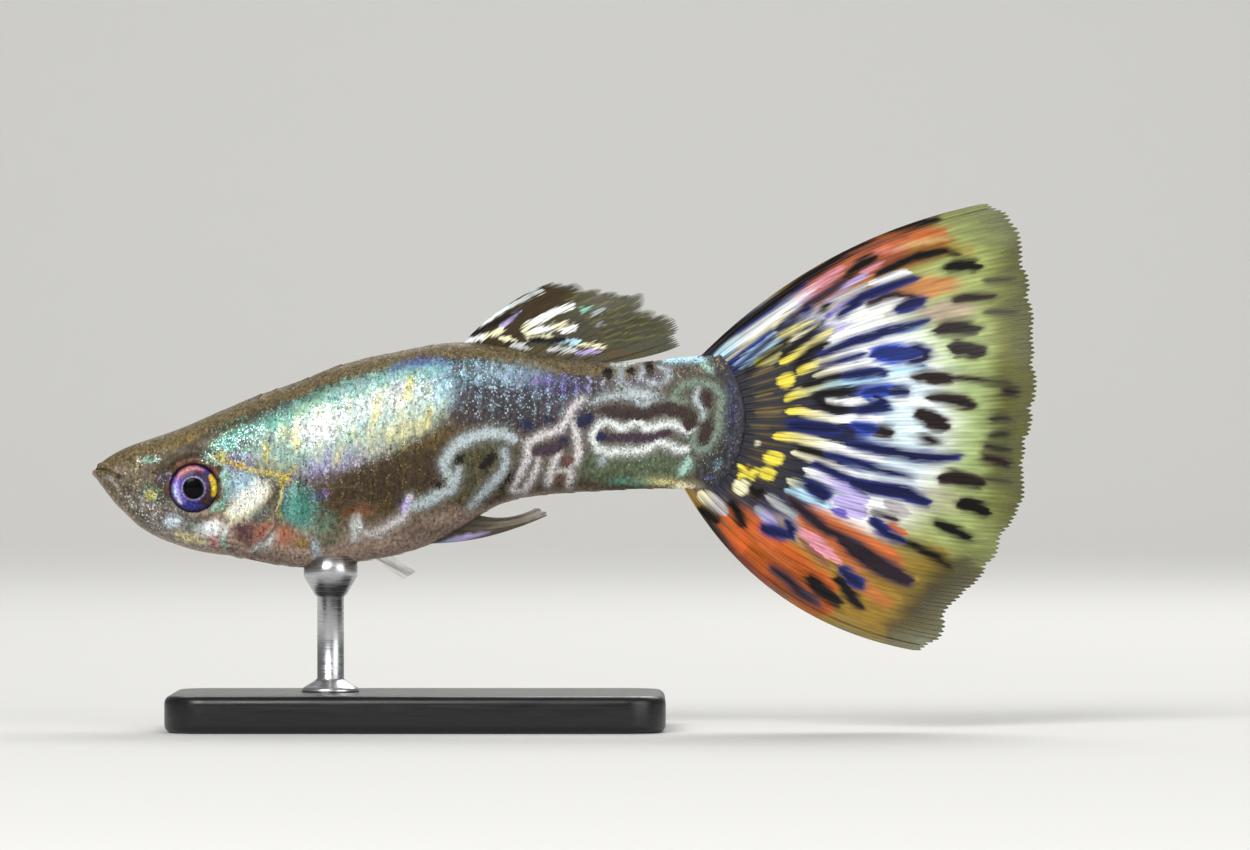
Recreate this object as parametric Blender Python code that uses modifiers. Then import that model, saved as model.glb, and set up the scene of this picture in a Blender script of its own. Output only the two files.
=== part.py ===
"""A male fancy guppy, life size, held still over a small display stand.

Everything is modelled in millimetres and is brought down to metres at the end. X runs from the snout to the
tail, Z is up and the fish's left side faces -Y. Stations along the fish are counted from the tip of the snout,
and heights on it from the lowest point of the belly; row() turns both into the frame whose floor is Z = 0.
"""

import math

import bmesh
import bpy
from mathutils import Matrix, Vector

MM = 0.001

# Driving sizes of the fish.
TOTAL_LENGTH = 45.5
BODY_END = 31.2
BELLY_HEIGHT = 7.8
SEAM = 0.3

# Outlines of the body seen from the side, as (station, height), and its half width, as (station, half width).
BACK_LINE = (
    (0.0, 4.75), (0.25, 5.05), (0.7, 5.45), (1.6, 5.92), (4.1, 6.8), (6.0, 7.62), (7.9, 8.4), (9.9, 9.08),
    (11.8, 9.85), (14.7, 10.53), (17.4, 10.96), (19.6, 10.77), (21.5, 10.33), (24.4, 10.04), (26.8, 10.06),
    (29.2, 10.33), (31.5, 10.4),
)
BELLY_LINE = (
    (0.0, 4.5), (0.2, 4.14), (0.7, 3.41), (1.4, 2.65), (2.3, 1.85), (3.4, 1.28), (5.0, 0.76), (6.8, 0.5),
    (7.9, 0.27), (9.9, 0.0), (12.8, 0.27), (15.2, 0.75), (16.9, 1.45), (18.6, 2.49), (19.8, 3.1), (21.2, 3.43),
    (24.4, 3.68), (27.3, 3.8), (31.5, 3.65),
)
HALF_WIDTH = (
    (0.0, 0.35), (0.25, 0.72), (0.7, 1.02), (1.5, 1.32), (3.0, 1.68), (5.0, 2.1), (7.0, 2.36), (9.5, 2.55),
    (12.5, 2.62), (16.0, 2.45), (20.0, 1.95), (24.0, 1.4), (28.0, 0.92), (31.5, 0.6),
)
# Share of the height at which the section is widest, and how square the section is (2 is an ellipse).
WIDEST = ((0.0, 0.5), (3.0, 0.56), (7.0, 0.54), (12.0, 0.47), (20.0, 0.5), (31.5, 0.5))
SQUARENESS = ((0.0, 2.2), (2.0, 2.5), (6.0, 2.45), (10.0, 2.15), (20.0, 2.0), (31.5, 2.1))
BODY_SIDES = 36
SNOUT_STATIONS = (0.0, 0.1, 0.22)
HEAD_STEP, TRUNK_STEP = 0.34, 0.85
HEAD_END = 9.2

# The rear end swings a little to the fish's left, from this station on.
SWAY_START = 14.0
SWAY_AT_TAIL = 1.1

# The head ends at the collar, and the tail stalk starts at the waist. A cut runs from the top of its line down.
COLLAR = (
    (6.9, 9.8), (7.5, 7.6), (8.4, 6.0), (9.15, 4.6), (9.25, 3.4), (8.95, 2.3), (8.3, 1.4), (7.4, 0.3), (7.1, -0.9),
)
WAIST = ((20.9, 12.0), (22.2, 7.0), (21.2, 2.0))
GILL_COVER_FRONT = (
    (12.0, 6.3), (8.2, 6.25), (7.3, 6.05), (6.98, 5.2), (6.98, 3.6), (6.8, 2.0), (6.3, 0.2), (6.2, -1.5),
)
GILL_COVER_DEPTH = 0.75
CUT_REACH = 6.0

# The mouth opens upwards. Its line runs from the lips to the corner, and the jaw ends on the throat.
MOUTH_LINE = ((-0.6, 5.1), (0.15, 4.83), (0.9, 4.35), (1.55, 3.85), (1.95, 3.2), (2.5, 2.2), (3.1, 0.6))
JAW_FRONT_LOW = (-1.0, 0.3)
LIP_RADIUS = 0.17
LIP_GAP = 0.27
LOWER_LIP_LEAD = 0.22
# Half of the upper lip from its corner to its middle, as (station, share of the head's half width there).
LIP_RUN = ((1.8, 0.72), (1.4, 0.98), (1.0, 1.0), (0.63, 0.92), (0.43, 0.6), (0.35, 0.0))
NOSTRILS = ((1.75, 5.2, 0.15), (2.75, 5.35, 0.19))

EYE_STATION, EYE_HEIGHT = 4.91, 3.9
EYE_RADIUS, EYE_HALF_DEPTH = 1.25, 0.72
EYE_BULGE = 0.42
EYE_SEGMENTS = 24
ORBIT_RADIUS, ORBIT_ROD = 1.62, 0.2
ORBIT_POINTS = 24

# Fins: a membrane with its rays raised on both faces, thicker at the root and thinner at the edge.
FIN_THICKNESS = 0.5
RAY_HEIGHT = 0.13
EDGE_THICKNESS = 0.34
ROOT_TAPER = 0.2
EDGE_TAPER_POWER = 5

# The tail fin grows from an arc on the end of the tail stalk.
TAIL_ROOT_CENTRE = (26.8, 7.2)
TAIL_ROOT_RADIUS = 3.9
TAIL_ROOT_HIGH, TAIL_ROOT_LOW = 51.0, -63.0
TAIL_RAYS, TAIL_ROWS = 18, 22
TAIL_BOW_TOP, TAIL_BOW_BOTTOM = 1.25, -1.65
TAIL_ROOT_THICKNESS = 1.0
TAIL_RIPPLE, TAIL_RIPPLES = 0.75, 1.6
TAIL_NOTCH = 0.018
TAIL_EDGE = (
    (43.2, 17.66), (44.3, 17.1), (44.8, 16.1), (45.1, 14.4), (45.4, 12.0), (45.5, 9.1), (45.3, 7.2), (44.9, 5.2),
    (44.9, 3.0), (44.0, 1.6), (43.6, 0.6), (42.8, -0.5), (42.0, -1.3), (41.3, -2.1), (40.9, -3.3), (39.9, -4.0),
)

DORSAL_START, DORSAL_END = 17.75, 24.5
DORSAL_RAYS, DORSAL_ROWS = 9, 12
DORSAL_BOW_FRONT, DORSAL_BOW_BACK = 0.35, -0.15
DORSAL_RIPPLE = 0.35
DORSAL_EDGE = (
    (22.3, 13.9), (23.3, 13.8), (24.2, 13.55), (25.0, 13.4), (25.9, 13.3), (26.5, 13.35), (26.7, 12.6),
    (27.4, 12.35), (28.0, 12.1), (28.3, 11.4), (28.35, 10.75),
)

# The modified anal fin of a male is narrow and points back.
GONOPODIUM_RAYS, GONOPODIUM_ROWS = 4, 10
GONOPODIUM_START, GONOPODIUM_END = 16.0, 18.5
GONOPODIUM_TIP = ((21.9, 2.5), (21.65, 2.85))
GONOPODIUM_BOW = -0.3

PECTORAL_ROOT = ((9.85, 4.0), (10.1, 2.5))
PECTORAL_RAYS, PECTORAL_ROWS = 7, 8
PECTORAL_LENGTH = 4.6
PECTORAL_HIGH, PECTORAL_LOW = 16.0, -44.0
PECTORAL_SPREAD = 24.0

PELVIC_START, PELVIC_END = 13.15, 14.05
PELVIC_SIDE = 0.75
PELVIC_RAYS, PELVIC_ROWS = 4, 6
PELVIC_TIPS = ((15.0, 1.15, -0.55), (15.6, 1.05, -0.15))

BASE_LENGTH, BASE_WIDTH, BASE_THICKNESS = 24.0, 13.0, 1.8
BASE_STATION = 15.6
BASE_CORNER, BASE_EDGE = 2.0, 0.4
ROD_STATION = 11.4
ROD_RADIUS = 0.65
PAD_RADIUS, PAD_TOP, PAD_HEIGHT = 1.3, 0.6, 1.0
FOOT_RADIUS, FOOT_HEIGHT = 1.4, 0.6
ROD_STEPS = 20


def row(station, side, height):
    """A point on the fish in the model's frame."""
    return Vector((station - TOTAL_LENGTH / 2, side, BELLY_HEIGHT + height))


def smooth(points, x):
    """The value at x of a smooth line through (x, value) points; a value may be a number or a Vector."""
    last = len(points) - 1
    i = max(k for k in range(last) if k == 0 or points[k][0] <= x)
    (x0, v0), (x1, v1) = points[i], points[i + 1]
    span = x1 - x0
    slope0 = (v1 - points[i - 1][1]) / (x1 - points[i - 1][0]) if i else (v1 - v0) / span
    slope1 = (points[i + 2][1] - v0) / (points[i + 2][0] - x0) if i + 2 <= last else (v1 - v0) / span
    u = min(max((x - x0) / span, 0.0), 1.0)
    return (
        v0 * (2 * u**3 - 3 * u**2 + 1)
        + slope0 * (span * (u**3 - 2 * u**2 + u))
        + v1 * (3 * u**2 - 2 * u**3)
        + slope1 * (span * (u**3 - u**2))
    )


def section(station):
    """Top, bottom and widest heights of the body at a station, its half width there and its squareness."""
    top, bottom = smooth(BACK_LINE, station), smooth(BELLY_LINE, station)
    widest = bottom + (top - bottom) * smooth(WIDEST, station)
    return top, bottom, widest, smooth(HALF_WIDTH, station), smooth(SQUARENESS, station)


def flank(station, height):
    """How far the body's skin lies from the middle plane at a station and a height."""
    top, bottom, widest, half_width, power = section(station)
    reach = (top - widest) if height > widest else (widest - bottom)
    share = min(abs(height - widest) / reach, 1.0)
    return half_width * (1 - share**power) ** (1 / power)


def underside(station, side):
    """The height of the body's lower skin at a station and a distance from the middle plane."""
    _, bottom, widest, half_width, power = section(station)
    return widest - (widest - bottom) * (1 - (side / half_width) ** power) ** (1 / power)


def sway(station):
    """Sideways swing of the fish at a station, towards its left side when negative."""
    run = max(station - SWAY_START, 0.0) / (TOTAL_LENGTH - SWAY_START)
    return -SWAY_AT_TAIL * run**2


def collection(name):
    """A new collection in the scene."""
    made = bpy.data.collections.new(name)
    bpy.context.scene.collection.children.link(made)
    return made


def material(name, colour, roughness, metallic=0.0):
    """A plain Principled material."""
    made = bpy.data.materials.new(name)
    made.use_nodes = True
    shader = made.node_tree.nodes["Principled BSDF"]
    shader.inputs["Base Color"].default_value = (*colour, 1.0)
    shader.inputs["Roughness"].default_value = roughness
    shader.inputs["Metallic"].default_value = metallic
    return made


def mesh_of(shape, name):
    """A mesh from a bmesh, with its faces turned outwards; the bmesh is freed."""
    bmesh.ops.recalc_face_normals(shape, faces=shape.faces)
    if shape.calc_volume(signed=True) < 0:
        bmesh.ops.reverse_faces(shape, faces=shape.faces)
    mesh = bpy.data.meshes.new(name)
    shape.to_mesh(mesh)
    shape.free()
    return mesh


def applied(source, weld=0.0005):
    """The object's mesh with its modifiers applied and points closer than the weld made one."""
    bpy.context.view_layer.update()
    graph = bpy.context.evaluated_depsgraph_get()
    mesh = bpy.data.meshes.new_from_object(source.evaluated_get(graph))
    shape = bmesh.new()
    shape.from_mesh(mesh)
    bmesh.ops.remove_doubles(shape, verts=shape.verts, dist=weld)
    bmesh.ops.dissolve_degenerate(shape, edges=shape.edges, dist=weld)
    shape.to_mesh(mesh)
    shape.free()
    return mesh


def largest_part(mesh):
    """The mesh with only its largest connected surface left."""
    shape = bmesh.new()
    shape.from_mesh(mesh)
    unseen, parts = set(shape.faces), []
    while unseen:
        front = [unseen.pop()]
        part = []
        while front:
            face = front.pop()
            part.append(face)
            for neighbour in {f for e in face.edges for f in e.link_faces if f in unseen}:
                unseen.discard(neighbour)
                front.append(neighbour)
        parts.append(part)
    parts.sort(key=lambda part: sum(face.calc_area() for face in part))
    bmesh.ops.delete(shape, geom=[face for part in parts[:-1] for face in part], context="FACES")
    loose = [vert for vert in shape.verts if not vert.link_faces]
    bmesh.ops.delete(shape, geom=loose, context="VERTS")
    shape.to_mesh(mesh)
    shape.free()
    return mesh


def carved(mesh, steps):
    """The mesh after Booleans given as (operation, cutter object), in order, as one closed surface."""
    work = bpy.data.objects.new("work", mesh.copy())
    bpy.context.scene.collection.objects.link(work)
    for operation, cutter in steps:
        boolean = work.modifiers.new(operation, "BOOLEAN")
        boolean.operation = operation
        boolean.object = cutter
    made = largest_part(applied(work))
    bpy.data.objects.remove(work)
    return made


def joined(mesh, pieces):
    """The mesh with closed pieces fused to it by one union on their collection; the pieces are then removed."""
    group = collection("pieces")
    for piece in pieces:
        group.objects.link(piece)
    work = bpy.data.objects.new("work", mesh)
    bpy.context.scene.collection.objects.link(work)
    union = work.modifiers.new("union", "BOOLEAN")
    union.operation = "UNION"
    union.operand_type = "COLLECTION"
    union.collection = group
    made = largest_part(applied(work))
    for gone in [work, *group.objects]:
        bpy.data.objects.remove(gone)
    bpy.data.collections.remove(group)
    return made


def mirrored(mesh):
    """A copy of the mesh on the other side of the middle plane."""
    copy = mesh.copy()
    for vertex in copy.vertices:
        vertex.co.y = -vertex.co.y
    copy.flip_normals()
    return copy


def body_mesh(inset, first=0.0):
    """The body without its fins, its skin moved in by the inset, as a loft between sections along the fish."""
    stations = list(SNOUT_STATIONS)
    while stations[-1] < HEAD_END:
        stations.append(stations[-1] + HEAD_STEP)
    while stations[-1] < BODY_END:
        stations.append(stations[-1] + TRUNK_STEP)
    shape = bmesh.new()
    rings = []
    for station in [s for s in stations if s >= first]:
        top, bottom, widest, half_width, power = section(station)
        ring = []
        for k in range(BODY_SIDES):
            angle = 2 * math.pi * k / BODY_SIDES
            across, up = math.sin(angle), math.cos(angle)
            side = math.copysign(abs(across) ** (2 / power), across) * (half_width - inset)
            reach = ((top - widest) if up > 0 else (widest - bottom)) - inset
            height = widest + math.copysign(abs(up) ** (2 / power), up) * reach
            ring.append(shape.verts.new(row(station, side, height)))
        rings.append(ring)
    for front, back in zip(rings, rings[1:]):
        for k in range(BODY_SIDES):
            n = (k + 1) % BODY_SIDES
            shape.faces.new((front[k], front[n], back[n], back[k]))
    shape.faces.new(rings[0])
    shape.faces.new(rings[-1])
    return mesh_of(shape, "body")


def shifted(line, distance):
    """An open line of (station, height) points moved sideways by a distance, to its left as it runs."""
    moved = []
    for i, (x, z) in enumerate(line):
        before, after = line[max(i - 1, 0)], line[min(i + 1, len(line) - 1)]
        along = Vector((after[0] - before[0], after[1] - before[1])).normalized()
        moved.append((x - along.y * distance, z + along.x * distance))
    return moved


def rounded(line, steps=3):
    """A smooth line through a few (station, height) points, with this many steps between two of them."""
    knots = [(k, Vector(point)) for k, point in enumerate(line)]
    return [tuple(smooth(knots, k / steps)) for k in range((len(line) - 1) * steps + 1)]


def prism(outline, side0, side1):
    """A flat outline of (station, height) points drawn out from one side to the other."""
    shape = bmesh.new()
    face = shape.faces.new([shape.verts.new(row(x, side0, z)) for x, z in outline])
    out = bmesh.ops.extrude_face_region(shape, geom=[face])["geom"]
    points = [item for item in out if isinstance(item, bmesh.types.BMVert)]
    bmesh.ops.translate(shape, verts=points, vec=Vector((0, side1 - side0, 0)))
    return mesh_of(shape, "prism")


def ball(centre, radii, segments):
    """A sphere stretched to three radii, with its poles on the side-to-side axis."""
    shape = bmesh.new()
    bmesh.ops.create_uvsphere(shape, u_segments=segments, v_segments=segments // 2, radius=1.0)
    for vertex in shape.verts:
        x, y, z = vertex.co
        vertex.co = row(centre[0] + x * radii[0], centre[1] + z * radii[1], centre[2] + y * radii[2])
    return mesh_of(shape, "ball")


def bead(points, radius, cyclic=False):
    """A closed round bead along points in the model's frame, ready to be fused."""
    curve = bpy.data.curves.new("bead", "CURVE")
    curve.dimensions = "3D"
    curve.bevel_depth = radius
    curve.bevel_resolution = 1
    curve.use_fill_caps = not cyclic
    spline = curve.splines.new("POLY")
    spline.points.add(len(points) - 1)
    spline.use_cyclic_u = cyclic
    for spot, point in zip(spline.points, points):
        spot.co = (*point, 1.0)
    guide = bpy.data.objects.new("bead", curve)
    bpy.context.scene.collection.objects.link(guide)
    made = bpy.data.objects.new("bead", applied(guide))
    bpy.data.objects.remove(guide)
    return made


def by_length(points):
    """The points as Vectors, each with its share of the whole length of the line through them."""
    line = [Vector(point) for point in points]
    run = [0.0]
    for before, after in zip(line, line[1:]):
        run.append(run[-1] + (after - before).length)
    return [(along / run[-1], point) for along, point in zip(run, line)]


def fan(root, edge, bow_first, bow_last, ripple):
    """A fin as a function of (t, r): t runs from its first ray to its last, and r from its root to its edge.

    root and edge give (station, height) at t, the bows bend the first and the last ray in the fin's plane,
    and the ripple moves a point (t, r) sideways.
    """

    def place(t, r):
        start, end = root(t), edge(t)
        along = (end - start).normalized()
        bow = (bow_first + (bow_last - bow_first) * t) * 4 * r * (1 - r)
        flat = start.lerp(end, r) + Vector((-along.y, along.x)) * bow
        return Vector((flat.x, ripple(t, r) + sway(flat.x), flat.y))

    return place


def half_thickness(r, on_ray, root_thickness):
    """Half the thickness of a fin at a share r of its length, on a ray or between two."""
    root_share = max(0.0, 1.0 - r / ROOT_TAPER) ** 2
    half = (FIN_THICKNESS + (root_thickness - FIN_THICKNESS) * root_share) / 2
    if on_ray:
        half += RAY_HEIGHT * (1 - root_share)
    return half + (EDGE_THICKNESS / 2 - half) * r**EDGE_TAPER_POWER


def fin_mesh(place, rays, rows, root_thickness, across=(0.0, 1.0, 0.0), notch=0.0):
    """A thin fin with its rays raised on both faces, which are split into triangles alike.

    Every second column of points is a ray, and between two rays the edge is drawn in by the notch.
    """
    shape = bmesh.new()
    columns = 2 * rays - 1
    offset = Vector(across).normalized()
    grids = []
    for sign in (-1, 1):
        grid = []
        for i in range(columns):
            on_ray = i % 2 == 0
            reach = 1.0 if on_ray else 1.0 - notch
            line = []
            for j in range(rows + 1):
                r = j / rows
                push = offset * (sign * half_thickness(r, on_ray, root_thickness))
                line.append(shape.verts.new(row(*(place(i / (columns - 1), r * reach) + push))))
            grid.append(line)
        grids.append(grid)
    for grid in grids:
        for i in range(columns - 1):
            for j in range(rows):
                shape.faces.new((grid[i][j], grid[i][j + 1], grid[i + 1][j + 1]))
                shape.faces.new((grid[i][j], grid[i + 1][j + 1], grid[i + 1][j]))
    rim = [(i, 0) for i in range(columns)] + [(columns - 1, j) for j in range(1, rows + 1)]
    rim += [(i, rows) for i in range(columns - 2, -1, -1)] + [(0, j) for j in range(rows - 1, 0, -1)]
    low, high = grids
    for (i, j), (k, m) in zip(rim, rim[1:] + rim[:1]):
        shape.faces.new((low[i][j], low[k][m], high[k][m]))
        shape.faces.new((low[i][j], high[k][m], high[i][j]))
    return mesh_of(shape, "fin")


class Builder:
    """Holds the two collections and makes the nodes one after another."""

    def __init__(self):
        self.figure = collection("fancy guppy")
        self.cutters = collection("cutters")
        self.body = body_mesh(0.0)

    def add(self, name, mesh, finish):
        """A finished piece of the fish or of its stand, shaded smooth up to a fold."""
        made = bpy.data.objects.new(name, mesh)
        self.figure.objects.link(made)
        mesh.materials.clear()
        mesh.materials.append(finish)
        mesh.shade_smooth()
        mesh.set_sharp_from_angle(angle=math.radians(40))

    def add_flesh(self, name, mesh, finish):
        """A piece of the straight body, put in its place in the swing of the rear end."""
        for vertex in mesh.vertices:
            vertex.co.y += sway(vertex.co.x + TOTAL_LENGTH / 2)
        self.add(name, mesh, finish)

    def cutter(self, name, mesh):
        """A hidden helper that only cuts."""
        made = bpy.data.objects.new(name, mesh)
        made.hide_render = True
        made.display_type = "WIRE"
        self.cutters.objects.link(made)
        return made

    def front_of(self, name, line, gap):
        """A block in front of a cut that runs from its top down."""
        outline = shifted(rounded(line), -gap) + [(-2.0, -2.0), (-2.0, 12.0)]
        return self.cutter(name, prism(outline, -CUT_REACH, CUT_REACH))

    def head(self, finish, jaw_finish):
        """The head with its mouth, nostrils and orbits, and the lower jaw under it."""
        block = self.front_of("head block", COLLAR, SEAM / 2)
        mouth = rounded(MOUTH_LINE)
        jaw_gap = self.cutter("jaw gap", prism(shifted(mouth, SEAM / 2) + [JAW_FRONT_LOW], -CUT_REACH, CUT_REACH))
        jaw_block = self.cutter(
            "jaw block", prism(shifted(mouth, -SEAM / 2) + [JAW_FRONT_LOW], -CUT_REACH, CUT_REACH)
        )
        head = carved(self.body, [("INTERSECT", block), ("DIFFERENCE", jaw_gap)])
        head = joined(head, [lip(1), orbit(1), orbit(-1)])
        cuts = [("DIFFERENCE", jaw_gap)]
        for side, word in ((-1, "left"), (1, "right")):
            socket = ball(
                eye_centre(side), (EYE_RADIUS + SEAM, EYE_HALF_DEPTH + SEAM, EYE_RADIUS + SEAM), EYE_SEGMENTS
            )
            cuts.append(("DIFFERENCE", self.cutter(f"socket {word}", socket)))
            for k, (station, height, radius) in enumerate(NOSTRILS):
                spot = (station, side * flank(station, height), height)
                pit = ball(spot, (radius, radius, radius), 8)
                cuts.append(("DIFFERENCE", self.cutter(f"nostril {word} {k}", pit)))
        cuts.append(("DIFFERENCE", self.gill_chamber()))
        self.add_flesh("head", carved(head, cuts), finish)
        jaw = joined(carved(self.body, [("INTERSECT", jaw_block)]), [lip(-1)])
        over = self.cutter("over the jaw", prism(shifted(mouth, -SEAM / 2) + [(3.1, 9.0), (-0.6, 9.0)], -6, 6))
        self.add_flesh("lower_jaw", carved(jaw, [("DIFFERENCE", over)]), jaw_finish)

    def gill_chamber(self):
        """The space that both gill covers and the gap round them take from the head."""
        outline = shifted(rounded(GILL_COVER_FRONT), -SEAM / 2) + [(12.0, -1.5)]
        core = self.cutter("head core", body_mesh(GILL_COVER_DEPTH + SEAM, 4.0))
        chamber = carved(prism(outline, -CUT_REACH, CUT_REACH), [("DIFFERENCE", core)])
        return self.cutter("gill chamber", chamber)

    def gill_covers(self, finish):
        """A thick curved plate over the gills on each side, from the cheek to the collar."""
        outline = shifted(rounded(GILL_COVER_FRONT), SEAM / 2) + [(12.0, -1.5)]
        block = self.cutter("gill cover block", prism(outline, -CUT_REACH, -SEAM / 2))
        core = self.cutter("gill core", body_mesh(GILL_COVER_DEPTH, 4.0))
        front = self.front_of("cover end", COLLAR, SEAM / 2)
        left = carved(self.body, [("INTERSECT", front), ("INTERSECT", block), ("DIFFERENCE", core)])
        self.add_flesh("gill_cover_right", mirrored(left), finish)
        self.add_flesh("gill_cover_left", left, finish)

    def trunk(self, finish):
        """The body between the collar and the waist."""
        ahead = self.front_of("ahead of the trunk", COLLAR, -SEAM / 2)
        block = self.front_of("trunk block", WAIST, SEAM / 2)
        self.add_flesh("trunk", carved(self.body, [("INTERSECT", block), ("DIFFERENCE", ahead)]), finish)

    def tail_stalk(self, finish):
        """The body behind the waist, with a round end that the tail fin grows from."""
        ahead = self.front_of("ahead of the stalk", WAIST, -SEAM / 2)
        centre, radius = Vector(TAIL_ROOT_CENTRE), TAIL_ROOT_RADIUS - SEAM
        turns = [math.radians(a) for a in range(84, -85, -8)]
        arc = [tuple(centre + Vector((math.cos(a), math.sin(a))) * radius) for a in turns]
        end = prism([(18.0, 13.0), (27.0, 13.0), *arc, (27.0, 0.0), (18.0, 0.0)], -CUT_REACH, CUT_REACH)
        steps = [("INTERSECT", self.cutter("stalk end", end)), ("DIFFERENCE", ahead)]
        self.add_flesh("tail_stalk", carved(self.body, steps), finish)

    def eyes(self, finish):
        """Two flattened eyeballs, each in its socket."""
        for side, word in ((-1, "left"), (1, "right")):
            mesh = ball(eye_centre(side), (EYE_RADIUS, EYE_HALF_DEPTH, EYE_RADIUS), EYE_SEGMENTS)
            self.add(f"eye_{word}", mesh, finish)

    def tail_fin(self, finish):
        """The great tail fin, a fan of rays from the round end of the stalk."""
        edge_points = by_length(TAIL_EDGE)
        centre = Vector(TAIL_ROOT_CENTRE)

        def root(t):
            angle = math.radians(TAIL_ROOT_HIGH + (TAIL_ROOT_LOW - TAIL_ROOT_HIGH) * t)
            return centre + Vector((math.cos(angle), math.sin(angle))) * TAIL_ROOT_RADIUS

        def ripple(t, r):
            return TAIL_RIPPLE * r**2 * math.sin(2 * math.pi * TAIL_RIPPLES * t + 0.6)

        place = fan(root, lambda t: smooth(edge_points, t), TAIL_BOW_TOP, TAIL_BOW_BOTTOM, ripple)
        mesh = fin_mesh(place, TAIL_RAYS, TAIL_ROWS, TAIL_ROOT_THICKNESS, notch=TAIL_NOTCH)
        self.add("caudal_fin", mesh, finish)

    def dorsal_fin(self, finish):
        """The fin on the back, whose rear rays lie low over the tail stalk."""
        edge_points = by_length(DORSAL_EDGE)

        def root(t):
            station = DORSAL_START + (DORSAL_END - DORSAL_START) * t
            return Vector((station, smooth(BACK_LINE, station) + SEAM))

        def ripple(t, r):
            return DORSAL_RIPPLE * r**2 * math.sin(2 * math.pi * t)

        place = fan(root, lambda t: smooth(edge_points, t), DORSAL_BOW_FRONT, DORSAL_BOW_BACK, ripple)
        self.add("dorsal_fin", fin_mesh(place, DORSAL_RAYS, DORSAL_ROWS, 0.8, notch=0.04), finish)

    def gonopodium(self, finish):
        """The narrow fin under the belly that points back."""
        first, last = (Vector(tip) for tip in GONOPODIUM_TIP)

        def root(t):
            station = GONOPODIUM_START + (GONOPODIUM_END - GONOPODIUM_START) * t
            return Vector((station, smooth(BELLY_LINE, station) - SEAM))

        place = fan(root, lambda t: first.lerp(last, t), GONOPODIUM_BOW, GONOPODIUM_BOW, lambda t, r: 0.0)
        self.add("gonopodium", fin_mesh(place, GONOPODIUM_RAYS, GONOPODIUM_ROWS, 0.7), finish)

    def pectoral_fins(self, finish):
        """A rounded fan behind each gill cover, held out from the flank."""
        out = math.radians(PECTORAL_SPREAD)
        (top_station, top_height), (low_station, low_height) = PECTORAL_ROOT

        def place(t, r):
            station = top_station + (low_station - top_station) * t
            height = top_height + (low_height - top_height) * t
            lift = math.radians(PECTORAL_HIGH + (PECTORAL_LOW - PECTORAL_HIGH) * t)
            length = PECTORAL_LENGTH * (0.72 + 0.28 * math.sin(math.pi * t)) * r
            root_side = flank(station, height) + SEAM + 0.25
            return Vector(
                (
                    station + length * math.cos(lift) * math.cos(out),
                    -root_side - length * math.cos(lift) * math.sin(out),
                    height + length * math.sin(lift),
                )
            )

        across = (math.sin(out), math.cos(out), 0.0)
        left = fin_mesh(place, PECTORAL_RAYS, PECTORAL_ROWS, 0.6, across, notch=0.05)
        self.add("pectoral_fin_right", mirrored(left), finish)
        self.add("pectoral_fin_left", left, finish)

    def pelvic_fins(self, finish):
        """A small pointed fin on each side of the belly."""
        first, last = (Vector(tip) for tip in PELVIC_TIPS)

        def place(t, r):
            station = PELVIC_START + (PELVIC_END - PELVIC_START) * t
            start = Vector((station, PELVIC_SIDE, underside(station, PELVIC_SIDE) - SEAM))
            flat = start.lerp(first.lerp(last, t), r)
            return Vector((flat.x, -flat.y, flat.z))

        left = fin_mesh(place, PELVIC_RAYS, PELVIC_ROWS, 0.5)
        self.add("pelvic_fin_right", mirrored(left), finish)
        self.add("pelvic_fin_left", left, finish)

    def stand(self, base_finish, rod_finish):
        """A flat base with rounded corners, and one short rod whose pad is shaped to the belly."""
        shape = bmesh.new()
        bmesh.ops.create_cube(shape, size=1.0)
        bmesh.ops.scale(shape, vec=Vector((BASE_LENGTH, BASE_WIDTH, BASE_THICKNESS)), verts=shape.verts)
        middle = Vector((BASE_STATION - TOTAL_LENGTH / 2, 0.0, BASE_THICKNESS / 2))
        bmesh.ops.translate(shape, vec=middle, verts=shape.verts)
        upright = [edge for edge in shape.edges if abs((edge.verts[0].co - edge.verts[1].co).z) > 1.0]
        bmesh.ops.bevel(
            shape, geom=upright, offset=BASE_CORNER, segments=6, profile=0.5, affect="EDGES"
        )
        level = [e for e in shape.edges if e.is_manifold and e.calc_face_angle() > math.radians(60)]
        bmesh.ops.bevel(shape, geom=level, offset=BASE_EDGE, segments=2, profile=0.5, affect="EDGES")
        self.add("stand_base", mesh_of(shape, "base"), base_finish)

        top = BELLY_HEIGHT + PAD_TOP
        foot = BASE_THICKNESS + SEAM
        profile = [
            (0.0, top), (PAD_RADIUS, top), (PAD_RADIUS, top - PAD_HEIGHT), (ROD_RADIUS, top - 2 * PAD_HEIGHT),
            (ROD_RADIUS, foot + FOOT_HEIGHT), (FOOT_RADIUS, foot + FOOT_HEIGHT / 3), (FOOT_RADIUS, foot), (0.0, foot),
        ]
        outline = bpy.data.meshes.new("rod profile")
        points = [Vector((x, 0.0, z)) for x, z in profile]
        outline.from_pydata(points, [(k, k + 1) for k in range(len(points) - 1)], [])
        rod = bpy.data.objects.new("rod", outline)
        bpy.context.scene.collection.objects.link(rod)
        screw = rod.modifiers.new("turned", "SCREW")
        screw.steps = screw.render_steps = ROD_STEPS
        screw.use_merge_vertices = True
        screw.merge_threshold = 0.0001
        turned = applied(rod)
        bpy.data.objects.remove(rod)
        for vertex in turned.vertices:
            vertex.co.x += ROD_STATION - TOTAL_LENGTH / 2
        cradle = self.cutter("cradle", body_mesh(-SEAM))
        self.add("stand_rod", carved(turned, [("DIFFERENCE", cradle)]), rod_finish)


def eye_centre(side):
    """The middle of an eyeball as (station, side, height)."""
    out = flank(EYE_STATION, EYE_HEIGHT) + EYE_BULGE - EYE_HALF_DEPTH
    return (EYE_STATION, side * out, EYE_HEIGHT)


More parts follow.
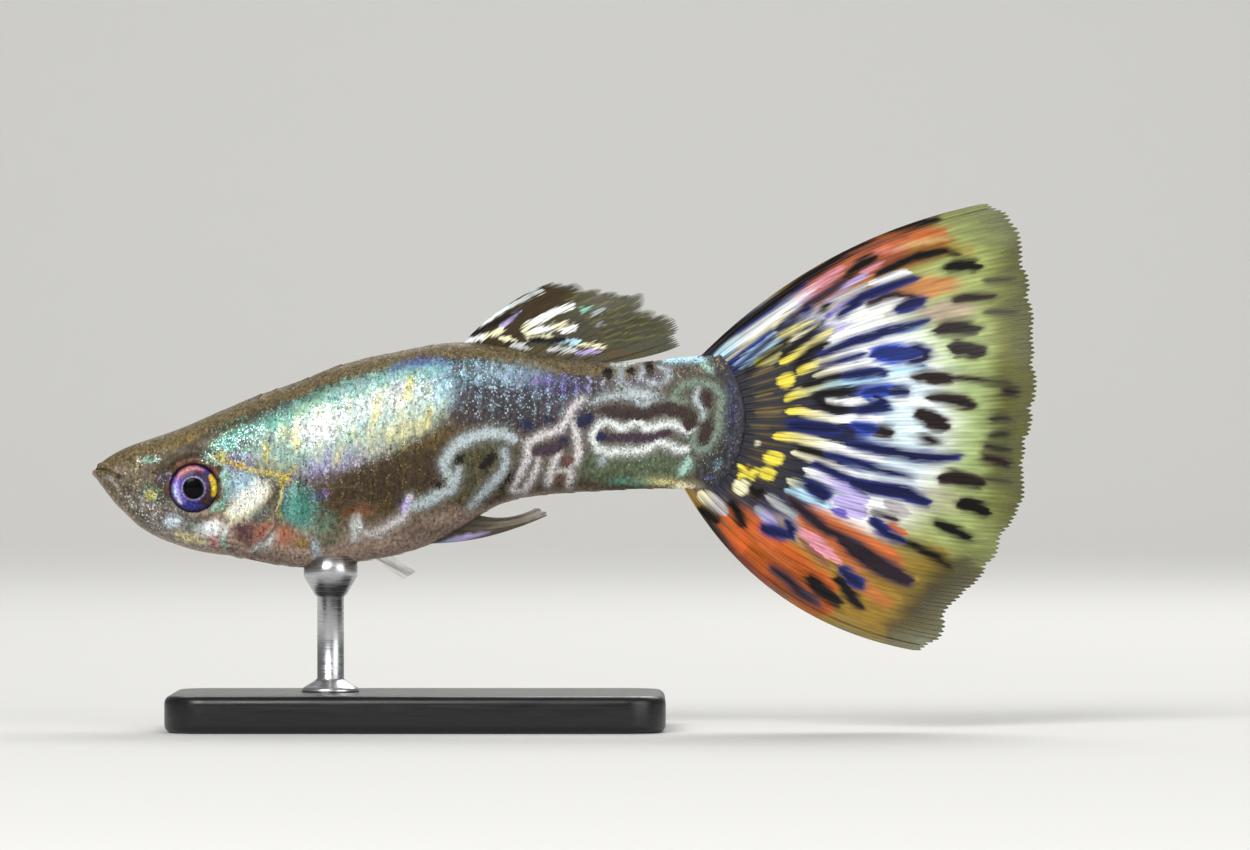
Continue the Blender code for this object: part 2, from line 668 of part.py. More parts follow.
def orbit(side):
    """The low rim round an eye, a bead half sunk in the skin."""
    points = []
    for k in range(ORBIT_POINTS):
        angle = 2 * math.pi * k / ORBIT_POINTS
        station = EYE_STATION + ORBIT_RADIUS * math.cos(angle)
        height = EYE_HEIGHT + ORBIT_RADIUS * math.sin(angle)
        points.append(row(station, side * (flank(station, height) - ORBIT_ROD / 3), height))
    return bead(points, ORBIT_ROD, cyclic=True)


def lip(way):
    """The upper lip where way is 1 and the lower where it is -1, a bead from one corner round to the other."""
    points = []
    half = [(station, share, 1) for station, share in LIP_RUN]
    for station, share, side in half + [(s, w, -1) for s, w, _ in half[-2::-1]]:
        if way < 0:
            station -= LOWER_LIP_LEAD * (1 - (station - LIP_RUN[-1][0]) / LIP_RUN[0][0])
        height = smooth(MOUTH_LINE, station) + way * LIP_GAP
        points.append(row(station, side * share * flank(station, height), height))
    return bead(points, LIP_RADIUS)


def main():
    """Clears the scene and builds the fish on its stand."""
    for old in list(bpy.data.objects):
        bpy.data.objects.remove(old)
    skin = material("olive skin", (0.28, 0.24, 0.14), 0.38)
    silver = material("silver belly", (0.55, 0.52, 0.48), 0.3, 0.3)
    membrane = material("spotted fin membrane", (0.45, 0.42, 0.3), 0.4)
    clear = material("clear fin membrane", (0.62, 0.62, 0.55), 0.35)
    iris = material("eye", (0.3, 0.3, 0.55), 0.12)
    acrylic = material("stand acrylic", (0.05, 0.05, 0.055), 0.25)
    steel = material("stand steel", (0.5, 0.5, 0.52), 0.3, 1.0)

    builder = Builder()
    builder.head(skin, silver)
    builder.gill_covers(silver)
    builder.trunk(skin)
    builder.tail_stalk(skin)
    builder.eyes(iris)
    builder.tail_fin(membrane)
    builder.dorsal_fin(membrane)
    builder.gonopodium(clear)
    builder.pectoral_fins(clear)
    builder.pelvic_fins(clear)
    builder.stand(acrylic, steel)
    for made in [*builder.figure.objects, *builder.cutters.objects]:
        made.data.transform(Matrix.Scale(MM, 4))


main()
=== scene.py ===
"""Finish of a life-size male fancy guppy on its display stand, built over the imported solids.

The fish is described in millimetres: a station counted from the tip of the snout, a side (negative on the
fish's left, which faces the camera) and a height above the lowest point of the belly. Markings are placed on
a side view of the fish in picture points, whose real size is PICTURE_POINT.
"""

import logging
from collections.abc import Callable
from dataclasses import dataclass
from enum import Enum
from functools import partial
from math import cos, pi, radians, sin
from typing import Any

import bmesh
import bpy
import numpy as np
from bpy.types import Material, Mesh, Node, NodeSocket, NodeTree, Object
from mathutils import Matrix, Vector


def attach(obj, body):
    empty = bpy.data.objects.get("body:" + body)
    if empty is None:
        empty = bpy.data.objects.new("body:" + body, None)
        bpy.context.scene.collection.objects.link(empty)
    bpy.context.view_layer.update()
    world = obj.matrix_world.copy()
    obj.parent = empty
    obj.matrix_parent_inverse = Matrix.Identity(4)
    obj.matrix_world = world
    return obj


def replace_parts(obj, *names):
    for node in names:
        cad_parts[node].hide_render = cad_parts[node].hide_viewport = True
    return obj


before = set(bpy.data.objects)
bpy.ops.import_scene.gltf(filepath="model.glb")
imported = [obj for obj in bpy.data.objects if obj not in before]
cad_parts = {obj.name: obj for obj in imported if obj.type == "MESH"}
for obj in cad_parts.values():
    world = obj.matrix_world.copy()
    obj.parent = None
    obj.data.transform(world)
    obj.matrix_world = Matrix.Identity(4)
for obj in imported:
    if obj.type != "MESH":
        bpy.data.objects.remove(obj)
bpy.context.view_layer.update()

LOG = logging.getLogger("guppy")

MM = 0.001
# From the snout to the tail's root, in millimetres and in picture points.
STANDARD_LENGTH = 30.0
PICTURE_LENGTH = 620.0
PICTURE_POINT = STANDARD_LENGTH / PICTURE_LENGTH
# Where station 0 and height 0 lie in the picture.
PICTURE_ORIGIN = np.array((95.0, 568.0))
PICTURE_SIZE = (1250, 850)
TOTAL_LENGTH = 45.5
# Height of the lowest point of the belly over the floor.
BELLY_HEIGHT = 7.8
SEED = 11
# How far outside a mark its depth is kept, and how far its halo reaches, in picture points.
FAR = 12.0
HALO = 7.0
# Distance in millimetres under which points are merged.
WELD = 0.0005
# Settings of the nodes that are used most.
TIMES = {"operation": "MULTIPLY"}
SCALED = {"operation": "SCALE"}
BLEND = {"output": 2, "data_type": "RGBA"}

Array = np.ndarray
Pair = tuple[float, float]
Marks = tuple[Any, ...]


class Ink(Enum):
    """Pigments and shines of the fish, as sRGB hex values."""

    JET = "#020203"
    SOOT = "#17120f"
    NAVY = "#232b6a"
    BLUE = "#2f49b0"
    VIOLET = "#6a5fb4"
    LILAC = "#b7a9dc"
    ICE = "#b4dcee"
    SNOW = "#fbfdfb"
    CYAN = "#6fb0c2"
    MINT = "#86c4ab"
    TEAL = "#3f9a8b"
    CREAM = "#f4efc6"
    LEMON = "#ead94e"
    GOLD = "#d9b62b"
    MUSTARD = "#96762c"
    SAND = "#cfc78e"
    REED = "#707234"
    SMOKE = "#4c4b36"
    OLIVE = "#5a4a26"
    BARK = "#3c2e1b"
    EARTH = "#4f4537"
    UMBER = "#372a27"
    PLUM = "#40303c"
    RUST = "#a14e17"
    ORANGE = "#cf6228"
    SALMON = "#c96c3a"
    PINK = "#e096a4"
    ROSE = "#8a564a"
    COCOA = "#5f443d"
    BLUSH = "#b29a8b"
    ASH = "#6c5f50"
    SAGE = "#94a79b"
    SLATE = "#33333b"
    MIDNIGHT = "#20233f"
    INDIGO = "#352d68"
    KHAKI = "#a0ab68"
    PEARL = "#b9b4b4"
    LACE = "#9aa4a6"
    MOSS = "#57634a"
    SILVER = "#c9cecb"
    TAN = "#6f6040"
    FROST = "#9dbfb0"
    CELERY = "#b0c487"
    BRACKEN = "#55541f"
    LICHEN = "#697669"
    STRAW = "#d8cf8a"


def linear(code: str) -> tuple[float, float, float]:
    """Turns an sRGB hex value to linear light.

    Args:
        code: A colour such as "#25245a".

    Returns:
        The red, green and blue shares of linear light.
    """
    parts = [int(code[k:k + 2], 16) / 255 for k in (1, 3, 5)]
    return tuple(c / 12.92 if c <= 0.04045 else ((c + 0.055) / 1.055) ** 2.4 for c in parts)


def clamp(x: Array) -> Array:
    """The nearest value between 0 and 1."""
    return np.clip(x, 0.0, 1.0)


def ease(x: Array) -> Array:
    """Smooth rise from 0 to 1 while x goes from 0 to 1."""
    x = clamp(x)
    return x * x * (3 - 2 * x)


def hump(distance: Array, width: float) -> Array:
    """Bell curve of the distance, 1 at nothing and about a third at the width."""
    return np.exp(-((distance / width) ** 2))


def unit(ways: Array) -> Array:
    """Directions with a length of 1."""
    return ways / np.maximum(np.linalg.norm(ways, axis=-1, keepdims=True), 1e-9)


def run_along(points: Array) -> Array:
    """Length of a line from its start to each of its points."""
    return np.concatenate([[0.0], np.cumsum(np.linalg.norm(np.diff(points, axis=0), axis=1))])


def cloud(spots: Array, size: float, seed: int) -> Array:
    """Smooth random field between -1 and 1 over flat points.

    Args:
        spots: Points, one row of two numbers each.
        size: Distance over which the field changes, in the points' own unit.
        seed: Seed of the field.

    Returns:
        One value for each point.
    """
    cells = 64
    table = np.random.default_rng(seed).uniform(-1.0, 1.0, (cells, cells))
    whole = np.floor(spots / size).astype(int)
    part = ease(spots / size - whole)
    x0, y0 = whole[:, 0] % cells, whole[:, 1] % cells
    x1, y1 = (x0 + 1) % cells, (y0 + 1) % cells
    low = table[x0, y0] * (1 - part[:, 0]) + table[x1, y0] * part[:, 0]
    high = table[x0, y1] * (1 - part[:, 0]) + table[x1, y1] * part[:, 0]
    return low * (1 - part[:, 1]) + high * part[:, 1]


def row(points: Array) -> Array:
    """Points of the fish (station, side, height) in millimetres, in the frame and in metres."""
    return (points + np.array((-TOTAL_LENGTH / 2, 0.0, BELLY_HEIGHT))) * MM


def to_picture(rows: Array) -> Array:
    """Side-view picture points of points of the fish."""
    return rows[..., (0, 2)] * (1, -1) / PICTURE_POINT + PICTURE_ORIGIN


@dataclass(frozen=True)
class Line:
    """Smooth line through rows of a knot and its values.

    Attributes:
        rows: The knot, in rising order, followed by one value or more.
    """

    rows: Marks

    @classmethod
    def along(cls, points: Marks) -> "Line":
        """Line through points, with the share of its length as the knot."""
        run = run_along(points)
        return cls(tuple((k, *spot) for k, spot in zip(run / run[-1], points)))

    def at(self, x: Any) -> Array:
        """Values at x.

        Args:
            x: A number or an array of knot values.

        Returns:
            An array of x's shape, with one more axis where the line has several values.
        """
        table = np.array(self.rows, float)
        knots, values = table[:, 0], table[:, 1:]
        x = np.asarray(x, float)
        last = len(knots) - 1
        i = np.clip(np.searchsorted(knots, x, side="right") - 1, 0, last - 1)
        # The slope at a knot is that of the chord between its neighbours.
        after, before = np.clip(np.arange(last + 1) + [[1], [-1]], 0, last)
        slopes = (values[after] - values[before]) / (knots[after] - knots[before])[:, None]
        span = (knots[i + 1] - knots[i])[..., None]
        u = clamp((x[..., None] - knots[i][..., None]) / span)
        made = (
            values[i] * (2 * u**3 - 3 * u**2 + 1)
            + slopes[i] * span * (u**3 - 2 * u**2 + u)
            + values[i + 1] * (3 * u**2 - 2 * u**3)
            + slopes[i + 1] * span * (u**3 - u**2)
        )
        return made[..., 0] if values.shape[1] == 1 else made


def way_to(points: Marks, spots: Array) -> tuple[Array, Array]:
    """Distance from flat spots to a line of points, and where along it the nearest point lies.

    Args:
        points: The line's points.
        spots: An array of flat spots.

    Returns:
        The distances, and the shares of the line's length.
    """
    line, run = np.array(points, float), run_along(points)
    nearest = np.full(len(spots), np.inf)
    share = np.zeros(len(spots))
    for k, length in enumerate(np.diff(run)):
        step = line[k + 1] - line[k]
        u = clamp(((spots - line[k]) @ step) / length**2)
        gap = np.linalg.norm(spots - line[k] - u[:, None] * step, axis=1)
        closer = gap < nearest
        nearest[closer] = gap[closer]
        share[closer] = ((run[k] + u * length) / run[-1])[closer]
    return nearest, share


@dataclass(frozen=True)
class Stroke:
    """A brush stroke on the side view, in picture points.

    Attributes:
        ink: Its colour.
        width: Its width at the widest.
        points: The line it follows.
        taper: How it narrows to its ends: 0 not at all, 0.5 as an ellipse does.
        soft: Half the width of its blurred edge.
        strength: How much of what lies under it is covered.
        last: The colour that it turns to along its first two thirds, where it has two.
    """

    ink: Ink
    width: float
    points: Marks
    taper: float = 0.3
    soft: float = 1.6
    strength: float = 1.0
    last: Ink | None = None

    def colour(self, spots: Array) -> Array:
        """Linear colour of the stroke.

        Args:
            spots: Picture points.

        Returns:
            One colour for each spot, or one for all.
        """
        first = np.array(linear(self.ink.value))
        if self.last is None:
            return first
        _, share = way_to(self.points, spots)
        return first + (np.array(linear(self.last.value)) - first) * ease(share * 1.5)[:, None]

    def depth(self, spots: Array) -> Array:
        """How far inside the stroke each spot lies.

        Args:
            spots: Picture points.

        Returns:
            The depths, negative outside.
        """
        line = np.array(self.points, float)
        reach = self.width / 2 + max(FAR, self.soft)
        near = np.all((spots > line.min(0) - reach) & (spots < line.max(0) + reach), axis=1)
        made = np.full(len(spots), -np.inf)
        if near.any():
            gap, share = way_to(self.points, spots[near])
            half = self.width / 2 * clamp(4 * share * (1 - share)) ** self.taper
            made[near] = half - gap
        return made

    def cover(self, spots: Array) -> Array:
        """Share of each spot that the stroke covers."""
        return ease(0.5 + self.depth(spots) / (2 * self.soft)) * self.strength


@dataclass(frozen=True)
class Patch:
    """An oval area on the side view, in picture points.

    Attributes:
        ink: Its colour.
        centre: Its middle.
        radii: Half its length and half its height.
        tilt: Its turn in degrees, clockwise as seen.
        strength: How much of what lies under it is covered.
        soft: Half the width of its blurred edge, as a share of its radii.
    """

    ink: Ink
    centre: Pair
    radii: Pair
    tilt: float = 0.0
    strength: float = 1.0
    soft: float = 0.4

    def colour(self, spots: Array) -> Array:
        """Linear colour for all spots."""
        return np.array(linear(self.ink.value))

    def depth(self, spots: Array) -> Array:
        """How far inside the patch each spot lies.

        Args:
            spots: Picture points.

        Returns:
            The depths, negative outside.
        """
        turn = radians(self.tilt)
        x, y = (spots - np.array(self.centre)).T
        along = (x * cos(turn) + y * sin(turn)) / self.radii[0]
        across = (y * cos(turn) - x * sin(turn)) / self.radii[1]
        return (1 - np.sqrt(along**2 + across**2)) * min(self.radii)

    def cover(self, spots: Array) -> Array:
        """Share of each spot that the patch covers."""
        return ease(0.5 + self.depth(spots) / (2 * self.soft * min(self.radii))) * self.strength


@dataclass(frozen=True)
class Layer:
    """Marks with a crisp edge, kept as a depth for each point, so that a coarse mesh draws them sharp.

    Attributes:
        name: Start of the names of its two attributes.
        marks: Its strokes and patches.
        soft: Half the width of their edge, in picture points.
        halo: How strongly their colour shows just outside them.
        core: Brightness of their middle, where 1 is that of their edge.
    """

    name: str
    marks: Marks
    soft: float = 0.9
    halo: float = 0.0
    core: float = 1.0

    def write(self, mesh: Mesh, spots: Array) -> None:
        """Stores the depth and the colour of the layer's marks for each point of a mesh.

        Args:
            mesh: The mesh.
            spots: Picture point of each of its points.
        """
        depth = np.full(len(spots), -FAR)
        tint = np.zeros((len(spots), 3))
        for mark in self.marks:
            here = mark.depth(spots)
            closer = here > depth
            depth[closer] = here[closer]
            tint[closer] = mark.colour(spots[closer])
        store(mesh, self.name + "_depth", depth)
        store(mesh, self.name + "_tint", tint, colour=True)


@dataclass
class Canvas:
    """Colours that are laid over the spots of a surface.

    Attributes:
        spots: Side-view picture points of the surface.
        tint: Linear colours, one row each.
    """

    spots: Array
    tint: Array

    @classmethod
    def filled(cls, spots: Array, ink: Ink) -> "Canvas":
        """Canvas in one colour."""
        return cls(spots, np.tile(linear(ink.value), (len(spots), 1)))

    def lay(self, ink: Ink, cover: Array) -> None:
        """Lays a colour with a share for each spot."""
        self.tint += (np.array(linear(ink.value)) - self.tint) * cover[:, None]

    def paint(self, marks: Marks) -> None:
        """Lays strokes and patches in order."""
        for mark in marks:
            self.tint += (mark.colour(self.spots) - self.tint) * mark.cover(self.spots)[:, None]


def wandered(spots: Array, size: float, reach: float) -> Array:
    """Picture points that wander a little, so that painted edges are as uneven as grown ones.

    Args:
        spots: The picture points.
        size: Distance over which the wander changes.
        reach: How far it goes.

    Returns:
        The moved points.
    """
    return spots + np.stack([cloud(spots, size, SEED + k) for k in range(2)], axis=1) * reach


def arc(centre: Pair, radius: float, start: float, end: float) -> Marks:
    """Points of an arc on the side view.

    Args:
        centre: Its middle.
        radius: Its radius.
        start: Angle where it starts, in degrees clockwise from the right.
        end: Angle where it ends.

    Returns:
        The points.
    """
    steps = max(3, int(abs(end - start) / 20))
    turns = np.radians(np.linspace(start, end, steps + 1))
    return tuple((centre[0] + radius * cos(a), centre[1] + radius * sin(a)) for a in turns)


def read_marks(text: str) -> Marks:
    """Reads strokes and patches, one a line, with points in picture points.

    A stroke is "ink width taper soft strength x,y x,y ..." or ends in one arc "x,y,radius,start,end", and its
    ink can be two, as in "LEMON>SNOW". A patch is "ink half-length half-height tilt strength soft x,y".
    Numbers left out at the end have their defaults.

    Args:
        text: The lines.

    Returns:
        The marks in order.
    """
    made = []
    for line in text.strip().splitlines():
        inks, *words = line.split()
        ink, *last = (Ink[name] for name in inks.split(">"))
        sizes = [float(word) for word in words if "," not in word]
        points = tuple(tuple(map(float, word.split(","))) for word in words if "," in word)
        if len(points) > 1:
            made.append(Stroke(ink, sizes[0], points, *sizes[1:], **dict(zip(("last",), last))))
        elif len(points[0]) > 2:
            made.append(Stroke(ink, sizes[0], arc(points[0][:2], *points[0][2:]), *sizes[1:]))
        else:
            made.append(Patch(ink, points[0], tuple(sizes[:2]), *sizes[2:]))
    return tuple(made)


def new_mesh(name: str, points: Array, faces: list, closed: bool = True, weld: bool = False) -> Mesh:
    """Makes a smooth mesh from points in metres and faces.

    Args:
        name: The mesh's name.
        points: One row of three numbers for each point.
        faces: The point numbers of each face.
        closed: Whether it is closed, so that its faces are turned outwards.
        weld: Whether points at one place are merged.

    Returns:
        The mesh.
    """
    mesh = bpy.data.meshes.new(name)
    mesh.from_pydata(points.tolist(), [], faces)
    if closed:
        shape = bmesh.new()
        shape.from_mesh(mesh)
        if weld:
            bmesh.ops.remove_doubles(shape, verts=shape.verts, dist=WELD * MM)
        bmesh.ops.recalc_face_normals(shape, faces=shape.faces)
        shape.to_mesh(mesh)
        shape.free()
    mesh.shade_smooth()
    return mesh


def grid_faces(rows: int, columns: int, around: bool = False) -> list:
    """Quads between rows of points that were listed row by row.

    Args:
        rows: The number of rows.
        columns: The number of points in each row.
        around: Whether each row closes on itself.

    Returns:
        The point numbers of each quad.
    """
    i, j = np.meshgrid(np.arange(rows - 1), np.arange(columns if around else columns - 1), indexing="ij")
    here, there = i * columns + j, i * columns + (j + 1) % columns
    return np.stack([here, there, there + columns, here + columns], axis=-1).reshape(-1, 4).tolist()


def new_object(name: str, data: Any) -> Object:
    """Adds an object to the scene.

    Args:
        name: Its name.
        data: Its mesh, light or camera.

    Returns:
        The object.
    """
    made = bpy.data.objects.new(name, data)
    bpy.context.scene.collection.objects.link(made)
    return made


def new_piece(name: str, mesh: Mesh, finish: Material) -> Object:
    """Adds a piece of the model to the scene.

    Args:
        name: The piece's name.
        mesh: Its mesh.
        finish: Its material.

    Returns:
        The piece, riding on the body.
    """
    piece = new_object(name, mesh)
    mesh.materials.clear()
    mesh.materials.append(finish)
    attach(piece, "root")
    LOG.info("%s: %d points, %d faces", name, len(mesh.vertices), len(mesh.polygons))
    return piece


def store(mesh: Mesh, name: str, values: Array, colour: bool = False) -> None:
    """Stores a number, a vector or a linear colour for each point of a mesh.

    Args:
        mesh: The mesh.
        name: The attribute's name.
        values: One number for each point, or one row of three.
        colour: Whether the three are a colour.
    """
    kind, field = ("FLOAT", "value") if values.ndim == 1 else ("FLOAT_VECTOR", "vector")
    if colour:
        kind, field = "FLOAT_COLOR", "color"
        values = np.concatenate([values, np.ones((len(values), 1))], axis=1)
    mesh.attributes.new(name, kind, "POINT").data.foreach_set(field, values.astype(np.float32).ravel())


def recall(mesh: Mesh, name: str) -> Array:
    """Reads back one number for each point of a mesh.

    Args:
        mesh: The mesh.
        name: The attribute's name.

    Returns:
        The numbers.
    """
    values = np.empty(len(mesh.vertices), np.float32)
    mesh.attributes[name].data.foreach_get("value", values)
    return values


def rows_of(mesh: Mesh) -> Array:
    """Places of a mesh's points on the fish.

    Args:
        mesh: The mesh.

    Returns:
        Station, side and height of each point, in millimetres.
    """
    points = np.empty(len(mesh.vertices) * 3)
    mesh.vertices.foreach_get("co", points)
    return points.reshape(-1, 3) / MM + np.array((TOTAL_LENGTH / 2, 0.0, -BELLY_HEIGHT))


def feed_node(tree: NodeTree, node: Node, inputs: dict | tuple) -> None:
    """Gives a node's inputs their values or their links.

    Args:
        tree: The node's tree.
        node: The node.
        inputs: Value or output socket for each input, in their order, or by name or number.
    """
    for key, value in inputs.items() if isinstance(inputs, dict) else enumerate(inputs):
        if isinstance(value, NodeSocket):
            tree.links.new(value, node.inputs[key])
        else:
            node.inputs[key].default_value = value


def add_node(tree: NodeTree, kind: str, inputs: dict | tuple = (), output: Any = 0, **settings: Any) -> Any:
    """Adds a node with its settings, its input values and its links.

    Args:
        tree: The tree that the node goes into.
        kind: The node's type, where a shader node's can go without ShaderNode.
        inputs: What feed_node gives its inputs.
        output: Name or number of the output that is handed back.
        **settings: Properties of the node.

    Returns:
        The output socket, or None where the node has none.
    """
    made = tree.nodes.new(kind if "Node" in kind else "ShaderNode" + kind)
    for key, value in settings.items():
        setattr(made, key, value)
    feed_node(tree, made, inputs)
    return made.outputs[output] if len(made.outputs) else None


def new_finish(name: str) -> tuple[Material, Callable, Callable]:
    """Makes a material with an empty look.

    Args:
        name: Its name.

    Returns:
        The material, add_node for its tree, and feed_node for its shader.
    """
    made = bpy.data.materials.new(name)
    made.use_nodes = True
    tree = made.node_tree
    return made, partial(add_node, tree), partial(feed_node, tree, tree.nodes["Principled BSDF"])


@dataclass
class Growth:
    """A Geometry Nodes tree that turns a start mesh into a finished one.

    Attributes:
        name: The tree's name.
        inputs: Value of each named input.
    """

    name: str
    inputs: dict[str, Any]

    def __post_init__(self) -> None:
        """Makes the tree with its named inputs and its output."""
        self.tree = bpy.data.node_groups.new(self.name, "GeometryNodeTree")
        kinds = {float: "Float", int: "Int", Object: "Object"}
        sockets = [("Start", "Geometry"), ("Finish", "Material")]
        sockets += [(name, kinds[type(value)]) for name, value in self.inputs.items()]
        for name, kind in sockets:
            self.tree.interface.new_socket(name, in_out="INPUT", socket_type="NodeSocket" + kind)
        self.tree.interface.new_socket("Grown", in_out="OUTPUT", socket_type="NodeSocketGeometry")
        self.given = self.tree.nodes.new("NodeGroupInput").outputs
        self.add = partial(add_node, self.tree)

    def close(self, grown: NodeSocket) -> None:
        """Ends the tree with plain geometry in its material.

        Args:
            grown: Socket of the finished geometry.
        """
        real = self.add("GeometryNodeRealizeInstances", (grown,))
        dressed = self.add("GeometryNodeSetMaterial", {"Geometry": real, "Material": self.given["Finish"]})
        self.add("NodeGroupOutput", (dressed,))

    def grow(self, start: Mesh, finish: Material) -> Mesh:
        """Runs the tree on a start mesh.

        Args:
            start: The mesh that it starts from.
            finish: The material that it sets.

        Returns:
            The grown mesh.
        """
        holder = new_object(self.name, start)
        modifier = holder.modifiers.new(self.name, "NODES")
        modifier.node_group = self.tree
        values = self.inputs | {"Finish": finish}
        for item in self.tree.interface.items_tree:
            if item.in_out == "INPUT" and item.name in values:
                modifier[item.identifier] = values[item.name]
        graph = bpy.context.evaluated_depsgraph_get()
        shape = holder.evaluated_get(graph)
        grown = bpy.data.meshes.new_from_object(shape, preserve_all_data_layers=True, depsgraph=graph)
        bpy.data.objects.remove(holder)
        return grown


@dataclass(frozen=True)
class BodyForm:
    """Shape of the body without its fins, as its solids have it.

    Attributes:
        back, belly: Height of the top and the bottom of the body along its stations.
        half_width: Half its width along its stations.
        widest: Share of the height at which it is widest.
        squareness: Power of the section's curve, 2 for an ellipse.
        sway_start, sway_at_tail: Where the swing of the rear end starts, and how far it goes.
    """

    back: Line = Line((
        (0.0, 4.75), (0.25, 5.05), (0.7, 5.45), (1.6, 5.92), (4.1, 6.8), (6.0, 7.62), (7.9, 8.4), (9.9, 9.08),
        (11.8, 9.85), (14.7, 10.53), (17.4, 10.96), (19.6, 10.77), (21.5, 10.33), (24.4, 10.04),
        (26.8, 10.06), (29.2, 10.33), (31.5, 10.4),
    ))
    belly: Line = Line((
        (0.0, 4.5), (0.2, 4.14), (0.7, 3.41), (1.4, 2.65), (2.3, 1.85), (3.4, 1.28), (5.0, 0.76), (6.8, 0.5),
        (7.9, 0.27), (9.9, 0.0), (12.8, 0.27), (15.2, 0.75), (16.9, 1.45), (18.6, 2.49), (19.8, 3.1),
        (21.2, 3.43), (24.4, 3.68), (27.3, 3.8), (31.5, 3.65),
    ))
    half_width: Line = Line((
        (0.0, 0.35), (0.25, 0.72), (0.7, 1.02), (1.5, 1.32), (3.0, 1.68), (5.0, 2.1), (7.0, 2.36),
        (9.5, 2.55), (12.5, 2.62), (16.0, 2.45), (20.0, 1.95), (24.0, 1.4), (28.0, 0.92), (31.5, 0.6),
    ))
    widest: Line = Line(((0.0, 0.5), (3.0, 0.56), (7.0, 0.54), (12.0, 0.47), (20.0, 0.5), (31.5, 0.5)))
    squareness: Line = Line(((0.0, 2.2), (2.0, 2.5), (6.0, 2.45), (10.0, 2.15), (20.0, 2.0), (31.5, 2.1)))
    sway_start: float = 14.0
    sway_at_tail: float = 1.1

    def section(self, station: Array) -> tuple[Array, ...]:
        """The section's top, bottom and widest height and the power of its curve at stations."""
        top, bottom = self.back.at(station), self.belly.at(station)
        return top, bottom, bottom + (top - bottom) * self.widest.at(station), self.squareness.at(station)

    def flank(self, station: Array, height: Array) -> Array:
        """Distance of the skin from the middle plane.

        Args:
            station: Stations.
            height: Heights there.

        Returns:
            The distances.
        """
        top, bottom, widest, power = self.section(station)
        reach = np.where(height > widest, top - widest, widest - bottom)
        share = clamp(np.abs(height - widest) / reach)
        return self.half_width.at(station) * (1 - share**power) ** (1 / power)

    def underside(self, station: Array, side: Array) -> Array:
        """Height of the lower skin.

        Args:
            station: Stations.
            side: Distances from the middle plane.

        Returns:
            The heights.
        """
        _, bottom, widest, power = self.section(station)
        share = clamp(np.abs(side) / self.half_width.at(station))
        return widest - (widest - bottom) * (1 - share**power) ** (1 / power)

    def ring(self, station: Array, angle: Array) -> Array:
        """Points of the sections.

        Args:
            station: Stations.
            angle: Angles round the sections, from their top.

        Returns:
            Station, side and height of each point.
        """
        top, bottom, widest, square = self.section(station)
        across, up = np.sin(angle), np.cos(angle)
        side = np.sign(across) * np.abs(across) ** (2 / square) * self.half_width.at(station)
        reach = np.where(up > 0, top - widest, widest - bottom)
        height = widest + np.sign(up) * np.abs(up) ** (2 / square) * reach
        return np.stack(np.broadcast_arrays(station, side, height), axis=-1)

    def sway(self, station: Array) -> Array:
        """Sideways swing of the rear end at stations."""
        run = np.maximum(station - self.sway_start, 0.0) / (TOTAL_LENGTH - self.sway_start)
        return -self.sway_at_tail * run**2


FORM = BodyForm()


# Markings of the body

# The thin dark lines along the mouth slit (BARK from 95,471), the jaw fold (EARTH from 119,476.5), the cheek
# fold (BARK from 234,478) and the gill cover's edge (UMBER from 287,462) are painted shade in those creases.
BODY_FIELDS = read_marks("""
BLUSH 200 46 4 230,560
BLUSH 160 44 -2 330,580
OLIVE 110 48 -14 .9 395,470
BARK 76 26 -16 396,480
BLUSH 76 20 -12 .35 415,533
BLUSH 36 10 -8 .5 464,516
PLUM 84 34 4 525,405
UMBER 50 18 8 .8 505,412
SMOKE 40 26 -60 .8 478,462
EARTH 40 30 0 .7 540,470
MOSS 56 18 0 1 .25 634,467
TEAL 24 4 2 .35 632,482
EARTH 66 30 0 .8 650,395
SMOKE 26 40 0 .7 705,440
SLATE 26 24 0 .9 722,472
BLUSH 95 15 -3 .8 325,558
SLATE 24 92 0 1 .35 744,418
SLATE 30 16 20 .8 .6 715,360
SOOT 16 .1 5 .9 738,350 753,385 758,418 753,452 738,488
TAN 66 24 -24 .95 152,450
MUSTARD 20 8 -10 .6 .8 124,462
SAND 16 6 -26 .35 .8 148,447
MUSTARD 4 .4 2.5 .5 112,505 124,518 140,530 160,541
UMBER 10 7 -30 .45 .8 160,455
PEARL 3 .4 2 .35 112,494 126,510 142,522
MUSTARD 24 6 -18 .5 180,440
ASH 62 40 30 .95 146,496
EARTH 34 22 0 .7 196,470
SMOKE 32 14 -24 .9 232,424
PEARL 34 12 20 .4 180,536
ROSE 26 12 14 .22 .9 168,522
UMBER 12 7 -30 .5 .8 110,462
SAND 17 5 15 .8 190,538
ROSE 18 14 0 .9 255,532
PLUM 9 10 0 .7 246,530
PINK 7 7 0 .6 217,541
RUST 22 10 6 .7 .8 289,534
MUSTARD 11 5 0 .8 306,545
MOSS 14 18 0 .7 330,530
RUST 15 6 -10 .4 360,511
MUSTARD 5 .4 2.5 .7 122,507 131,516 141,524
MUSTARD 4 .3 2 .7 117,508 135,528 155,541 178,550
BARK 3 .4 2 .7 234,478 234,488 231,500 227,512
UMBER 5 .4 3 .6 287,462 287,480 284,496
UMBER 4 3 0 .9 129,489
EARTH 26 9 24 .4 .8 150,524
EARTH 34 11 4 .4 .8 245,550
SMOKE 16 9 -20 .6 .8 214,426
UMBER 8 3 0 .7 157,471
BARK 27 .4 5 .75 196.5,488,31,150,370
ROSE 5 .4 3 .6 196.5,488,26,170,330
BARK 1.6 .1 1.4 .7 95,471 104,469 109,470 116,475 121,477
PEARL 2.6 .2 1.4 .45 99,474 104,475 110,477.5 117,482 122,490
BLUSH 2.6 .2 1.4 .4 100,465 106,465.5 113,468 120,472
EARTH 2.4 .2 1.5 .7 119,476.5 126,483 132,492 138,504
""")
FLANK_BAND = read_marks("FROST 62 .3 14 .9 256,455 300,439 350,425 400,409 444,397")[0]
